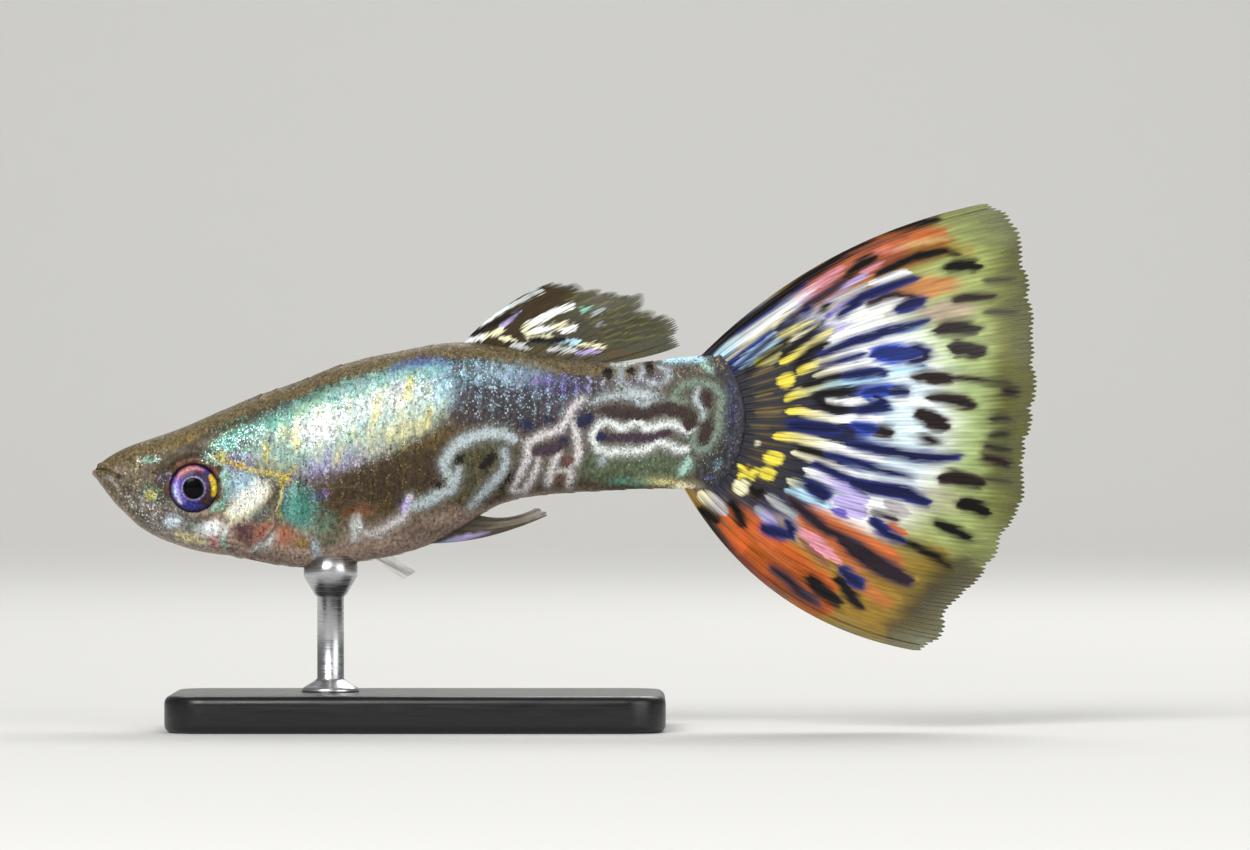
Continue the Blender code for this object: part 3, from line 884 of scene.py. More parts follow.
# The TEAL patch at 302,506 is painted light: it brightens the teal spot behind the gill cover, where the flank
# turns down from the lamps.
BODY_LIGHTS = (FLANK_BAND, *read_marks("""
SLATE 26 .3 9 .65 232,448 258,438 286,424 300,414
SNOW 13 7 -12 .85 .5 213,529
ICE 9 5.5 -25 .5 .8 175,521
SNOW>FROST 4.5 .4 1.4 .85 226,526 223.5,540 226,553
FROST 6 .3 2.5 .6 225,470 229,482 229,494 223,504 214,512
TEAL 16 18 0 .6 .5 302,506
CREAM 22 .4 6 .95 270,484 254,498 243,508 230,521
ICE 15 10 -40 .45 .8 243,484
MINT 16 .2 7 .75 256,437 300,413 350,391 400,375 446,367
TEAL 14 .3 7 .5 214,446 246,433 282,419
BLUE 9 .3 5 .5 392,371 420,362 450,364
BLUE 6 .3 5 .3 330,399 352,389 372,382
SILVER 20 15 -30 .95 .9 321,430
SNOW 9 8 -30 .8 .9 319,428
SILVER 24 10 -30 .7 .9 356,414
SILVER 18 12 -20 .8 .9 398,397
CREAM 36 16 -26 .35 .9 398,422
LILAC 22 12 -20 .35 .9 328,462
LILAC 20 9 -20 .25 .9 366,452
ICE 14 18 -10 .5 .8 441,387
SAND 12 .3 5 .5 388,437 410,429 434,424
LEMON 7 .4 4 .8 413,374 411,388 407,402
STRAW 6 .4 4 .7 381,392 377,412 370,438
STRAW 6 .4 4 .7 431,404 430,416 427,428
STRAW 6 .4 4 .6 346,438 342,452 336,466
SAND 6 .4 4 .6 301,424 298,438 300,452
STRAW 5 .4 4 .5 324,440 322,452 318,462
GOLD 5 .4 2 .8 267,443 268.5,452 268,462
MUSTARD 5 .3 2.5 .7 225,459 242,466 264,470 280,473 291,479
TEAL 19 19 0 .25 .6 301,506
MINT 14 9 -20 .3 .9 312,530
ICE 32 10 4 .3 .9 512,374
SILVER 6 14 10 .8 .6 357,528
ICE 5 8 -6 .5 .8 317,548
MUSTARD 3.5 .3 1.3 .8 224,458 234,463 242,466 252,470 264,471 272,470 280,473 291,479
MUSTARD 3 .3 1.3 .8 299,465 290,473 281,481 285,489
MUSTARD 3 .3 1.3 .7 268.5,444 266.5,455 268,464
"""))
BODY_GLITTER = read_marks("""
GOLD 22 12 -10 .35 .7 124,462
SAND 44 12 -26 .42 .7 150,446
SAND 40 26 35 .26 .7 140,500
ICE 30 16 10 .3 .8 168,516
MUSTARD 170 70 -8 .22 400,470
FROST 112 44 -24 .9 352,418
TEAL 50 8 -28 .8 .7 300,402
TEAL 30 8 -24 .7 .7 272,430
ICE 50 30 -20 .8 .5 396,400
SNOW 26 15 -28 1 .8 322,429
SILVER 30 14 -16 .9 .8 398,396
VIOLET 30 8 -14 .7 .6 420,362
LILAC 42 13 -20 .7 .6 340,460
SAND 44 14 -24 .75 .6 396,436
LEMON 6 .4 3 .95 412,378 410,388 407,400
LEMON 6 .4 3 .8 377,394 378,408 374,424
LEMON 6 .4 3 .8 432,404 431,418 428,430
LEMON 5 .4 3 .7 300,425 298,440 301,452
LEMON 5 .4 3 .7 341,444 340,456 337,466
ICE 84 30 4 .45 .6 514,394
CYAN 34 18 4 .75 .6 466,370
ICE 50 14 4 .85 .6 512,372
VIOLET 44 12 6 .85 .6 560,383
ICE 40 9 4 .85 .6 590,366
LILAC 40 13 0 .65 .6 640,374
ICE 34 7 0 .8 .6 690,362
BLUE 7 60 0 .25 .6 731,400
SLATE 14 .1 4 .08 742,352 755,385 760,418 755,452 742,486
SAGE 60 34 0 .3 .6 665,440
CYAN 21 22 0 .9 .35 301,506
MINT 15 16 0 .5 .6 303,503
TEAL 14 12 0 .72 .5 296,512
VIOLET 10 7 0 .7 321,494
MINT 10 6 -30 .8 298,486
MINT 16 12 0 .35 326,520
TEAL 30 11 -24 .85 236,440
FROST 22 20 -40 .75 .5 262,448
MINT 24 8 -8 .9 228,456
LEMON 12 5 0 .95 .7 229,457
LILAC 12 7 0 .9 252,460
TEAL 8 5 0 .8 241,415
LEMON 3.5 .4 1.5 267,443 268.5,452 268,460
MUSTARD 4 .4 2 .9 299,465 288,474 280,482 285,490
MUSTARD 24 9 4 .4 .8 266,468
TEAL 18 9 -24 .5 .7 222,420
CYAN 5 4 -30 .6 718,464
BLUE 5 5 0 .5 711,477
ICE 20 14 -40 .9 .6 246,484
SNOW 27 13 -45 1 .5 250,500
MOSS 13 9 -40 .7 262,514
LEMON 3.5 .4 1.5 .9 286,480 282,498 280.5,512 283,520
ICE 13 16 -10 .75 .6 240,468
LILAC 7 8 0 .8 .6 236,463
MINT 9 .3 2.5 1 224,468 229,480 229,492 224,503 214,512
SNOW 13 8 -10 1 .35 212,529
TEAL 11 6 0 .5 196,526
SNOW 8 5 -25 1 .6 175,521
FROST 6 .4 1.2 .8 226,527 223.5,540 226,552
SNOW 5 8 -6 .8 .6 317,548
SNOW 7 13 8 .9 .6 357,528
LEMON 4.5 .4 1.5 .75 224,458 242,466 264,471 280,473 291,479
LEMON 2.5 .4 1.5 .8 299,465 290,473 281,481 285,489
LEMON 18 6 -30 .5 .7 140,446
SNOW 26 8 30 .35 .7 150,508
MINT 10 4.5 0 .95 152,460
TEAL 11 11 0 .5 152,493
LEMON 6 6 0 1 .5 152,495
LILAC 7 8 0 .4 166,478
""")
# The ICE and FROST lines along the top edge of the stalk near the tail's root (663,361 to 712,372) are a
# painted highlight on that edge.
NET = Layer("net", read_marks("""
LACE 12.5 .18 446,474 445,463 451,453 459,444 473,437 488,433 504,434 518,441
LACE 9 .1 461,466 457,477 451,488
LACE 12 .15 446,470 455,481 451,489 439,494 429,501 409,507
PEARL 9 .25 409,507 404,517 391,525 379,532 362,535
PEARL>LILAC 8 413,493 409,502 404,512
LACE 9 .2 503,447 507,461 503,473 493,483 483,494 469,509
PEARL 8 .12 512,492 518,478 524,466 529,455 527,444 543,435 560,430 567,419 573,407 585,398
PEARL 7 .15 539,457 536.5,469 531,480 525,491 513,492
PEARL 8 .15 561,450 555,461 550.5,472 547.5,487
PEARL 5 .1 551,473 566,470
PEARL 8 .15 572,420 577,435 578.5,452 575.5,461 569,467 571.5,475 568,488
SILVER 8 .1 609,420 600,424 592.5,435 597,448 608,452 624,451 639,451 649,448 657,441 665,444 679,450 690,449
SILVER 8 .1 598,425 608,421 616,426 622,430 629,425 637,420 646,429 655,427 665,424 678,425 687,432 695,430
LACE 7 604,452 601,466
LACE 7 .2 593,403 606,397 620,395 632,397 643,405 652,400
LACE 20 6 10 .9 640,394
LICHEN 9 .12 671,403 675,393 685,384 699,382 715,386 722,397 719,413 718,430 707,447 698,451 692,442 695,430
LACE 7 .15 699,386 695,399 703,409 703,421
LICHEN 8 6 679,401
LACE 5 .25 641,365 643,371 638,379
LACE 5 .25 620.5,366 621,375 620.5,385
SILVER 4 611,364 624,365 639,361
LACE 5 657,366 668,371 669,377 664,383
LACE 4.5 646,382 655,384 663,386
ICE 6 .2 663,361 674,359 690,358 706,360
FROST 5 700,360 706,366 712,372
FROST 8 688,456 687,465 679,476
CREAM 10 4 4 682,487
SAND 12 3 2 663,482
SILVER 6 275.5,530 273,536 268,543 255,550
"""), 2.0, 0.25, 1.2)
SPOTS = Layer("spots", read_marks("""
SOOT 7 3.5 4 438,485
SOOT 5 6 20 461,459
SOOT 11 480,468 488,462 496,454
PLUM 11 .25 532,453 541,449 552,450 560,445 566,442
MIDNIGHT 6 4.5 20 564,440
COCOA 7 6.5 -30 567,461
COCOA 4.5 5.5 560,479
MIDNIGHT 13 578,426 585,421 592,414
MIDNIGHT 8 5.5 10 527,424
MIDNIGHT 6 4 549,419
MIDNIGHT 6 6 602,437
PLUM 9 .2 600,438 614,438 628,437 649,438 660,435 672,432
UMBER 14 .25 601,409 612,412 625,413 640,414 651,415
UMBER 13 .22 646,416 655,410 668,409 681,411 691,417 694,425
UMBER 8 8 689,423
UMBER 6 10 -8 706,399
UMBER 7 14 16 706,432
SOOT 5 5 631,371
SOOT 4 8 -14 650,368
SOOT 6 6 608,373
PLUM 4 .2 509,487 514,474 519,462
SOOT 5 500,491 508,480 512,470
UMBER 3 7 30 401,500
"""), 1.4)

# Markings of the fins

TAIL_FIELDS = read_marks("""
KHAKI 84 250 0 1 .35 990,390
REED 50 260 0 .95 .6 1044,360
BRACKEN 36 240 0 .95 .7 1044,380
BRACKEN 54 22 8 .5 .8 1000,214
REED 30 100 0 .8 .7 1010,440
BRACKEN 30 50 0 .65 .6 1004,425
CELERY 60 120 0 .9 926,410
SNOW 100 118 0 1 .25 850,418
ICE 44 70 0 .5 895,420
BLUSH 30 10 -4 .8 945,312
BLUSH 30 14 6 .4 938,500
SALMON 40 .25 7 796,302 838,272 880,254 915,244 948,240
RUST 12 .3 5 .5 850,276 885,258 930,244 955,240
MUSTARD 20 .3 8 .6 905,256 940,247 975,252
PLUM 7 .3 4 .6 796,292 836,262 880,243 910,236
ROSE 6 .3 4 .6 806,300 842,276 880,262 925,255
SAND 5 .3 4 .5 892,250 920,242 948,238
PINK 5 .3 4 .4 846,268 880,252 905,248
SALMON 34 11 -8 .7 925,288
SNOW 52 20 -38 1 .3 762,330
BLUE 104 102 0 .8 .2 776,412
MIDNIGHT 98 98 0 1 .16 770,412
SLATE 72 94 0 1 .3 752,414
ORANGE 60 .3 8 722,512 752,552 800,588 835,600
RUST 36 .3 9 .9 744,552 785,578 832,606
RUST 8 .3 4 .6 744,530 770,560 796,584
SALMON 36 .25 8 800,512 850,545 900,570
MUSTARD 46 .25 12 .85 862,596 890,598 920,580 945,550
BRACKEN 60 34 -40 .9 .7 950,596
SALMON 14 .3 6 .6 850,578 870,590 892,604
UMBER 50 .3 12 .6 890,640 935,610 975,560
SALMON 7 .3 4 .7 740,518 764,544 792,566
PLUM 8 .3 5 .7 712,522 730,548 756,576 790,600
RUST 6 .3 4 .7 776,548 800,566 830,586
GOLD 6 .3 4 .5 862,556 890,570 915,580
BRACKEN 44 .25 14 .9 760,600 815,638 880,662 940,640 985,590
BRACKEN 26 .2 14 .8 1024,240 1036,330 1038,420 1030,480 1012,560
""")
TAIL_LIGHTS = Layer("lights", read_marks("""
ICE>SNOW 12 712,361 735,343 760,325 789,305
CREAM 5 722,365 745,346 772,326 793,309
BLUE 2.6 728,366 744,352 768,337
ICE 4 734,366 752,350 776,332
ICE 4 739,369 758,354 786,333
SNOW>PINK 8 784,310 806,293 824,280 846,266
LILAC>PINK 4 799,303 818,290 838,276
PEARL>LILAC 5 812,316 826,304 846,288 871,272
PEARL 8 .35 832,306 846,297 864,285
SNOW 8 .35 868,286 888,278 912,271
PINK 5 .35 862,272 884,262
VIOLET>LILAC 5 .35 826,318 843,305 862,294
LILAC>SNOW 5 .35 836,330 856,320 882,309
SNOW 13 .4 842,322 858,313 880,304 905,298
PEARL 5 886,316 904,309 922,306
ICE 2.6 715,362 740,341 765,320
ICE 2.6 738,358 756,341 774,324
ICE>STRAW 2.8 744,361 762,347 781,333
ICE>STRAW 2.8 749,366 771,352 792,341
STRAW 6 .35 777,338 796,328 815,321
CREAM 4.5 .35 788,341 804,333 822,323
LEMON>STRAW 9.5 754,364 767,359 781,354
SNOW 2.4 762,360 770,357 776,355
LEMON>STRAW 8 .25 781,363 803,350 819,339 831,330
SNOW 10 822,348 844,336 866,328 886,322
ICE 5 880,334 900,330 920,328
LEMON>SNOW 10.5 .2 796,372 812,366 836,356 860,348 884,342
CREAM>SNOW 8.5 .25 814,377 835,370 860,364 884,360
ICE 4 884,371 904,369 924,369
LEMON 9 6.6 -30 786,380.5
LEMON>ICE 9 .2 784,400 798,394 814,387 836,383 862,381 884,380
LEMON>SNOW 9 .2 786,411 800,411 814,415 836,419 862,418 884,419
SNOW 8 .25 824,401 842,402 868,402
SNOW 5 892,401 912,402 930,404
TAN 6 .35 754,413 768,411 782,410
TAN 3 .35 755,397 764,395 773,393
TAN 3 .35 750,426 760,427 770,428
TAN 3 .35 752,376 763,371 774,367
LEMON>SNOW 10 .2 773,436 796,437 817,443 838,449 862,455 886,459
LEMON 10 7.2 5 774,458
CREAM>SNOW 8 .2 792,452 817,460 838,468 860,478 886,488
SNOW>LILAC 10 .25 803,470 826,478 848,488 868,498
LEMON 8.5 6.6 10 767,473.6
LEMON 6 .25 738,465 746,472 755,481
LEMON 6 .25 737,478 747,474 759,470
MUSTARD 4 748,464 746,473 741,480
CREAM 8.5 7.5 20 741.5,487
CREAM 2.6 2.2 757,443
CREAM>LACE 7 .35 787,480 798,483 810,488
ICE 9 .35 785,489 800,494 817,499 830,507
CREAM>PEARL 13 .35 698,492 711,501 727,514
LACE>LILAC 9 .4 754,506 765,516 777,527
PEARL>LACE 9 .4 766,495 780,505 794,517
PINK 8 .4 797,528 812,541 828,557
PINK 7 .4 808,531 824,546 840,562
ROSE 5 .4 800,538 814,552 830,566
LILAC 18 .45 834,498 850,505 868,513
VIOLET 7 5 20 841,512
PEARL 11 .4 884,502 896,508 908,514
SALMON 8 .4 885,525 896,529 908,535
SALMON 10 816,514 836,527 862,538 898,555
SALMON>MUSTARD 9 840,553 862,568 880,582 898,600
"""), 1.6)
TAIL_DARKS = Layer("darks", read_marks("""
SOOT 9 .22 701,353 716,341 737,328 764,309 785,294 806,277 822,267 849,248 877,233 913,225 940,218
NAVY 6 736,333 764,313 786,298 806,282
BLUE 4 3 -30 741.5,326
NAVY 3 723,366 740,354 758,341 772,330
NAVY 4 733,370 750,357 764,345 776,335
SOOT 4 746,372 762,360 784,346 790,338
SOOT 3.6 .25 779,358 794,347 812,332 824,321
SOOT 6 794,368 803,358 812,350 829,342
PLUM 6 790,320 806,306 818,299 834,288 848,277
NAVY 8 4 -36 806,309
SOOT 5 3 -30 825,308
SOOT 9 .35 846,277 859,265 877,256
SOOT 8 .35 873,277 886,270 900,263 920,256 942,252 958,254
NAVY 9 838,318 849,308 863,297 889,287 914,277
PLUM 7 .35 866,305 884,297 900,294 920,298
NAVY 12 .35 896,309 906,305 916,302 927,301
NAVY 9 818,357 832,350 849,343 868,337 884,332 908,326 929,321
NAVY 4.5 818,366 838,361 864,354
BLUE 18 .4 869,357 882,353 898,354 910,354 927,352
NAVY 10 905,349 918,349 928,353 922,360 906,361
SOOT 6.5 .35 802,387 814,383 828,378 846,375
NAVY 9 .4 838,377 856,374 872,372 886,374
SOOT 6.5 .25 818,405 817,398 822,394 834,392 849,393
SOOT 7 818,402 826,407 834,409 846,408
BLUE 11 .35 862,393 880,390 895,391
NAVY 10 888,391 900,391 910,392
NAVY 10 878,394 882,401 872,408 856,411
NAVY 8 868,409 880,408 890,406
BLUE 11 852,426 864,428 878,430
UMBER 11 874,429 884,431 893,434
NAVY 13 .35 786,424 812,427 838,430
SOOT 5 796,448 812,452 826,456
NAVY 7 .35 820,454 835,456 849,460 877,469 898,474 914,478
NAVY 11 .4 846,443 868,447 892,452 912,456 935,458 961,456
NAVY 8 812,462 826,468 840,475 855,481
NAVY 14 .35 850,480 866,487 884,489 906,493 930,504
NAVY 13 .35 806,482 816,490 828,500
PLUM 11 .35 786,495 800,508 815,521 828,531 848,539
PLUM 19 .4 838,536 856,550 874,562 890,572 912,584
VIOLET 10 5 35 .6 862,552
NAVY 10 870,516 878,526 890,535 905,542
SOOT 8 .35 900,540 918,548 934,556 950,566
PLUM 6 872,512 884,515 897,519
NAVY 12 .35 840,568 850,578 864,588
SOOT 10 .35 835,575 846,588 861,608
SOOT 11 .35 806,574 819,589 842,606
PLUM 9 .35 770,567 785,577 800,593 821,606
NAVY 11 .35 760,527 776,532 790,536
NAVY 9 786,520 791,529 792,538
SOOT 9 730,500 737,512 744,527
SOOT 10 698,508 708,515 719,523
SOOT 8 750,487 757,494 764,490
UMBER 6 .2 700,512 716,532 736,562 760,590
UMBER 15 .4 934,331 948,328 962,328 978,329
UMBER 15 .35 950,352 962,348 972,351 983,354
UMBER 12 .4 912,379 924,376 938,378 956,379
UMBER 4.5 945,378 965,378 985,381 1010,384
SOOT 11 .4 944,269 954,266 966,265 981,268
UMBER 8 .4 950,301 966,298 980,297 997,296
SMOKE 5 .4 984,313 1002,312 1022,312
SMOKE 4 .4 984,282 998,280 1012,279
UMBER 12 .4 928,397 940,397 954,400 976,406
UMBER 15 .4 913,412 926,417 936,423 947,429
UMBER 9 4.5 6 929,440
UMBER 14 .35 938,478 954,477 968,481 983,484
SMOKE 4 980,479 998,480 1015,482
SOOT 14 957,503 970,505 982,509 993,513
SOOT 10 .4 934,521 948,528 960,533 974,540
UMBER 8 .4 981,456 996,459 1015,466
UMBER 8 .35 1001,391 1010,392 1021,393
SMOKE 8 .4 990,420 1000,418 1012,419
SMOKE 8 .4 987,436 1000,434 1012,434
SMOKE 9 .4 983,445 996,448 1012,450
"""), 2.3, 0.45, 0.38)
DORSAL_FIELDS = read_marks("""
BARK 70 28 -34 .9 .4 520,318
OLIVE 60 5 3 .9 585,352
SMOKE 60 26 -14 .9 .4 612,318
BARK 60 26 -14 .45 .4 612,318
REED 1.5 .3 1.2 .8 566,300 590,290 612,284
REED 1.5 .3 1.2 .8 572,306 604,294 632,288
REED 1.5 .3 1.2 .8 578,312 614,300 644,294
REED 1.5 .3 1.2 .8 584,318 620,307 652,300
REED 1.5 .3 1.2 .8 588,323 626,313 658,306
REED 1.5 .3 1.2 .8 592,328 630,319 664,312
REED 1.5 .3 1.2 .8 596,333 634,325 668,319
REED 1.5 .3 1.2 .8 600,338 638,331 672,326
REED 1.5 .3 1.2 .8 604,343 642,338 674,334
""")
DORSAL_LIGHTS = Layer("lights", read_marks("""
SNOW 5 460,341 474,330 488,320 500,312 511,306
SILVER 4 505,309 518,302 530,296 541,290
ICE 2.4 466,336 482,323 498,312 512,302
SNOW 5 462,343 474,339 486,336
CREAM 4 480,338 492,334 504,329
LILAC 3 499,326 508,320 518,313
CREAM>SNOW 6.5 521,332 530,325 540,319 552,314
SNOW 5 545,317 556,312 566,308 576,303
CREAM>SNOW 5 524,333 538,331 552,328
CREAM 4 548,328 560,325 574,322
SNOW 7.5 562,331 569,328 577,326
LACE 3 592,315 602,311
MINT 2.4 580,311 590,307
LACE 2.4 598,326 606,323
CREAM 4 526,339 538,339 552,337
ICE 4 554,341 568,341 580,343
CREAM 3 578,345 592,346 604,347
SILVER 4.5 548,350 562,350 576,350
LILAC 3.5 575,353 588,352 602,352
SILVER 5 511,345 521,346 529,348
CREAM 3 498,338 508,339 516,340
"""), 1.3)
DORSAL_DARKS = Layer("darks", read_marks("""
SOOT 5 .4 469,336 492,324 516,313
SOOT 5 .4 528,340 548,341 566,339
"""), 1.3)
PRONG_FIELDS = read_marks("""
CYAN>LILAC 5 .4 2 424,547 450,541 474,535 490,531
SAND 3 .4 2 .5 490,528 520,521 540,515
PEARL 12 6 -10 .3 .8 536,515
EARTH 34 9 -12 .6 .8 506,528
""")

# Markings of the eye

# The CREAM arc low on the left of the iris is a painted highlight.
EYE_MARKS = read_marks("""
INDIGO 23 22.5 0 1 .06 196.5,488
VIOLET 9 .4 3 196.5,488,17.5,120,225
LILAC 5 .4 2.5 .9 196.5,488,18.5,140,200
ICE 2.5 .4 1.5 .7 196.5,488,19,150,185
ROSE 8 .4 3 .6 196.5,488,18,215,300
PINK 3.5 .4 2 .7 196.5,488,20,205,300
SALMON 2 .4 1.5 .5 196.5,488,21,225,270
PLUM 7 .4 2.5 .8 197,488,15,225,330
BLUE 6 .4 3 .3 196.5,488,18,80,130
CREAM 2.5 .4 1.4 .6 196.5,488,19.5,128,148
UMBER 12 .4 3 197,488,16.5,5,68
PLUM 7 .4 2.5 197,488,15,330,370
GOLD 5.5 .3 1.2 196.5,488,20.5,318,384
LEMON 2.4 .3 1 .8 196.5,488,20.5,335,370
LILAC 1.5 0 .8 .7 196,488,11.6,0,360
JET 10.8 10.8 0 1 .06 196,488
""")


# Finishes

@dataclass(frozen=True)
class WetSkin:
    """Living fish skin: clear wet slime over brown pigment cells and thin light-bending plates.

    The plates are flat crystals that flash in one colour each, so the flank glitters. The real ones are a
    fiftieth of a millimetre, finer than the picture shows, so they are drawn as plate says.

    Attributes:
        plate: Size of a glittering cell along, across and up, in millimetres.
        dot: Size of the cells that hold a dark pigment dot, in millimetres.
        rainbow: Share of a plate's colour that is its own and not its neighbourhood's.
    """

    plate: tuple[float, float, float] = (0.075, 0.1, 0.1)
    dot: float = 0.15
    rainbow: float = 0.42

    def make(self, name: str) -> Material:
        """Makes the material from the attributes that Livery writes.

        Args:
            name: Its name.

        Returns:
            The material.
        """
        made, add, feed = new_finish(name)
        place = add("TexCoord", output="Object")
        tint, shine = (add("Attribute", output="Color", attribute_name=name) for name in ("tint", "shine"))
        glitter = add("Attribute", output="Fac", attribute_name="glitter")
        freckle = add("Attribute", output="Fac", attribute_name="freckle")

        mottle = add("TexNoise", {"Vector": place, "Scale": 5200.0, "Detail": 3.0})
        # The plates stand in upright rows, as wide as a scale is long.
        upright = add("Mapping", {"Vector": place, "Scale": (2600.0, 1500.0, 1000.0)})
        clump = add("TexNoise", {"Vector": upright, "Scale": 1.0, "Detail": 3.0})
        shade = add("MapRange", (mottle, 0.3, 0.7, 0.66, 1.3))
        fibres = add("Mapping", {"Vector": place, "Scale": (7500.0, 5500.0, 2300.0)})
        fibre = add("TexNoise", {"Vector": fibres, "Scale": 1.0, "Detail": 2.0})
        fleck = add("MapRange", (fibre, 0.32, 0.68, 0.58, 1.28))
        toned = add("Math", (shade, fleck), **TIMES)

        scale = tuple(1 / (size * MM) for size in self.plate)
        cells = add("Mapping", {"Vector": place, "Scale": scale})
        cell = add("TexVoronoi", {"Vector": cells, "Scale": 1.0}, "Color")
        dice = add("SeparateColor", {"Color": cell}).node.outputs
        heart = add("MapRange", (cell.node.outputs["Distance"], 0.66, 0.3, 0.0, 1.0))
        chance = add("Math", (glitter, dice["Red"]), operation="SUBTRACT")
        lit = add("MapRange", (chance, -0.05, 0.1, 0.0, 1.0))
        bold = add("MapRange", (glitter, 0.0, 0.5, 0.3, 1.0))
        drawn = add("Math", (heart, lit), **TIMES)
        flash = add("Math", (drawn, bold), **TIMES)
        # Each plate flashes in its own colour of the rainbow, paled by the white light behind it.
        rainbow = add("CombineColor", {"Red": dice["Green"], "Green": 0.62, "Blue": 0.9}, mode="HSV")
        own = add("Math", (glitter, self.rainbow), **TIMES)
        spark = add("Mix", {0: own, 6: shine, 7: rainbow}, **BLEND)
        glow = add("MapRange", {0: dice["Blue"], 3: 0.45, 4: 1.3})
        sparkling = add("VectorMath", {0: spark, "Scale": glow}, **SCALED)
        thick = add("MapRange", (clump, 0.35, 0.65, 0.2, 1.0))
        patchy = add("MapRange", (mottle, 0.38, 0.58, 0.25, 1.0))
        sheen = add("Math", (glitter, 2.0), operation="POWER")
        dense = add("Math", (sheen, thick), **TIMES)
        haze = add("Math", (dense, patchy), **TIMES, use_clamp=True)
        hazy = add("Mix", {0: haze, 6: tint, 7: shine}, **BLEND)
        uneven = add("VectorMath", {0: hazy, "Scale": toned}, **SCALED)
        lively = add("Mix", {0: flash, 6: uneven, 7: sparkling}, **BLEND)

        edge = add("MapRange", {0: dice["Blue"], 3: -2.4, 4: 1.6})
        grain = add("MapRange", {0: dice["Green"], 3: 0.68, 4: 1.3})
        marked, _ = self.layered(add, lively, (NET, SPOTS), edge, grain)

        grains = add("TexVoronoi", {"Vector": place, "Scale": 1 / (self.dot * MM)}, "Color")
        luck = add("SeparateColor", {"Color": grains}, "Red")
        near = add("MapRange", (grains.node.outputs["Distance"], 0.36, 0.2, 0.0, 0.8))
        there = add("Math", (freckle, luck), operation="GREATER_THAN")
        dotted = add("Math", (near, there), **TIMES)
        dark = (*linear(Ink.SOOT.value), 1.0)
        freckled = add("Mix", {0: dotted, 6: marked, 7: dark}, **BLEND)

        gloss = add("MapRange", {0: flash, 3: 0.46, 4: 0.26})
        metal = add("Math", (flash, 0.35), **TIMES)
        relief = add("Bump", {"Strength": 0.25, "Distance": 0.03 * MM, "Height": mottle}, "Normal")
        feed({
            "Base Color": freckled, "Roughness": gloss, "Metallic": metal, "Normal": relief,
            "Specular IOR Level": 0.22, "Coat Weight": 0.1, "Coat Roughness": 0.12, "Coat IOR": 1.34,
        })
        return made

    @staticmethod
    def layered(add: Callable, ground: Any, layers: Marks, edge: Any, grain: Any) -> tuple:
        """Lays crisp layers over a colour.

        Args:
            add: What adds a node to the material.
            ground: Socket of the colour under them.
            layers: The layers, from the lowest up.
            edge: Socket that moves their edges, in picture points.
            grain: Socket that their colours are multiplied by.

        Returns:
            The sockets of the colour and of the share that the layers cover.
        """
        whole = 0.0
        for layer in layers:
            depth = add("Attribute", output="Fac", attribute_name=layer.name + "_depth")
            flat = add("Attribute", output="Color", attribute_name=layer.name + "_tint")
            deep = add("MapRange", (depth, 0.4, 3.4, 1.0, layer.core))
            tone = add("Math", (deep, grain), **TIMES)
            ink = add("VectorMath", {0: flat, "Scale": tone}, **SCALED)
            near = add("MapRange", (depth, -HALO, 0.0, 0.0, layer.halo))
            ground = add("Mix", {0: near, 6: ground, 7: ink}, **BLEND)
            moved = add("Math", (depth, edge), operation="ADD")
            cover = add("MapRange", (moved, -layer.soft, layer.soft, 0.0, 1.0))
            ground = add("Mix", {0: cover, 6: ground, 7: ink}, **BLEND)
            whole = add("Math", (whole, cover), operation="MAXIMUM")
        return ground, whole


@dataclass(frozen=True)
class FinWeb:
    """Thin fin skin between rays: clear as wet film, its pigment drawn out along the rays.

    Attributes:
        layers: The crisp layers of marks on it.
        veil: How much of the see-through places stays so, less on the rays than between them.
        furrow_shade: Painted shade in the fine furrows between the rays' strands: how dark they are drawn.
        calm: How ragged the marks are at the root, where 1 is as much as at the edge.
    """

    layers: Marks = ()
    veil: float = 1.0
    furrow_shade: float = 0.8
    calm: float = 0.25

    def make(self, name: str) -> Material:
        """Makes the material from the attributes that RayFin writes.

        Args:
            name: Its name.

        Returns:
            The material.
        """
        made, add, feed = new_finish(name)
        tint = add("Attribute", output="Color", attribute_name="tint")
        clear = add("Attribute", output="Fac", attribute_name="clear")
        web = add("Attribute", output="Vector", attribute_name="web")
        streak = add("TexNoise", {"Vector": web, "Scale": 1.0, "Detail": 3.0})
        edge = add("MapRange", (streak, 0.28, 0.72, -2.4, 3.6))
        across = add("SeparateXYZ", {0: web})
        # The marks are drawn out more and more towards the fin's edge.
        frayed = add("MapRange", (across.node.outputs["Z"], 0.12, 0.5, self.calm, 1.0))
        ragged = add("Math", (edge, frayed), **TIMES)
        marked, covered = WetSkin.layered(add, tint, self.layers, ragged, 1.0)
        turn = add("Math", (across, 2 * pi), **TIMES)
        ridge = add("Math", {0: turn}, operation="COSINE")
        # Painted shade: the skin is drawn darker in the fine furrows between the rays' strands.
        furrow_shade = add("MapRange", (ridge, -0.2, 1.0, 1.0, self.furrow_shade))
        shade = add("MapRange", (streak, 0.3, 0.7, 0.7, 1.2))
        depth = add("Math", (shade, furrow_shade), **TIMES)
        streaked = add("VectorMath", {0: marked, "Scale": depth}, **SCALED)
        thin = add("MapRange", (streak, 0.3, 0.7, 1.25 * self.veil, 0.6 * self.veil))
        bare = add("MapRange", {0: covered, 3: 1.0, 4: 0.08})
        thinned = add("Math", (clear, thin), **TIMES, use_clamp=True)
        open_share = add("Math", (thinned, bare), **TIMES)
        # A fin has two faces, so each one lets through the square root of what the fin does.
        face_share = add("Math", (open_share, 0.5), operation="POWER")
        solid = add("Math", (1.0, face_share), operation="SUBTRACT")
        relief = add("Bump", {"Strength": 0.3, "Distance": 0.03 * MM, "Height": streak}, "Normal")
        feed({
            "Base Color": streaked, "Alpha": solid, "Normal": relief, "Roughness": 0.42,
            "Specular IOR Level": 0.15, "Coat Weight": 0.05, "Coat Roughness": 0.15,
        })
        return made


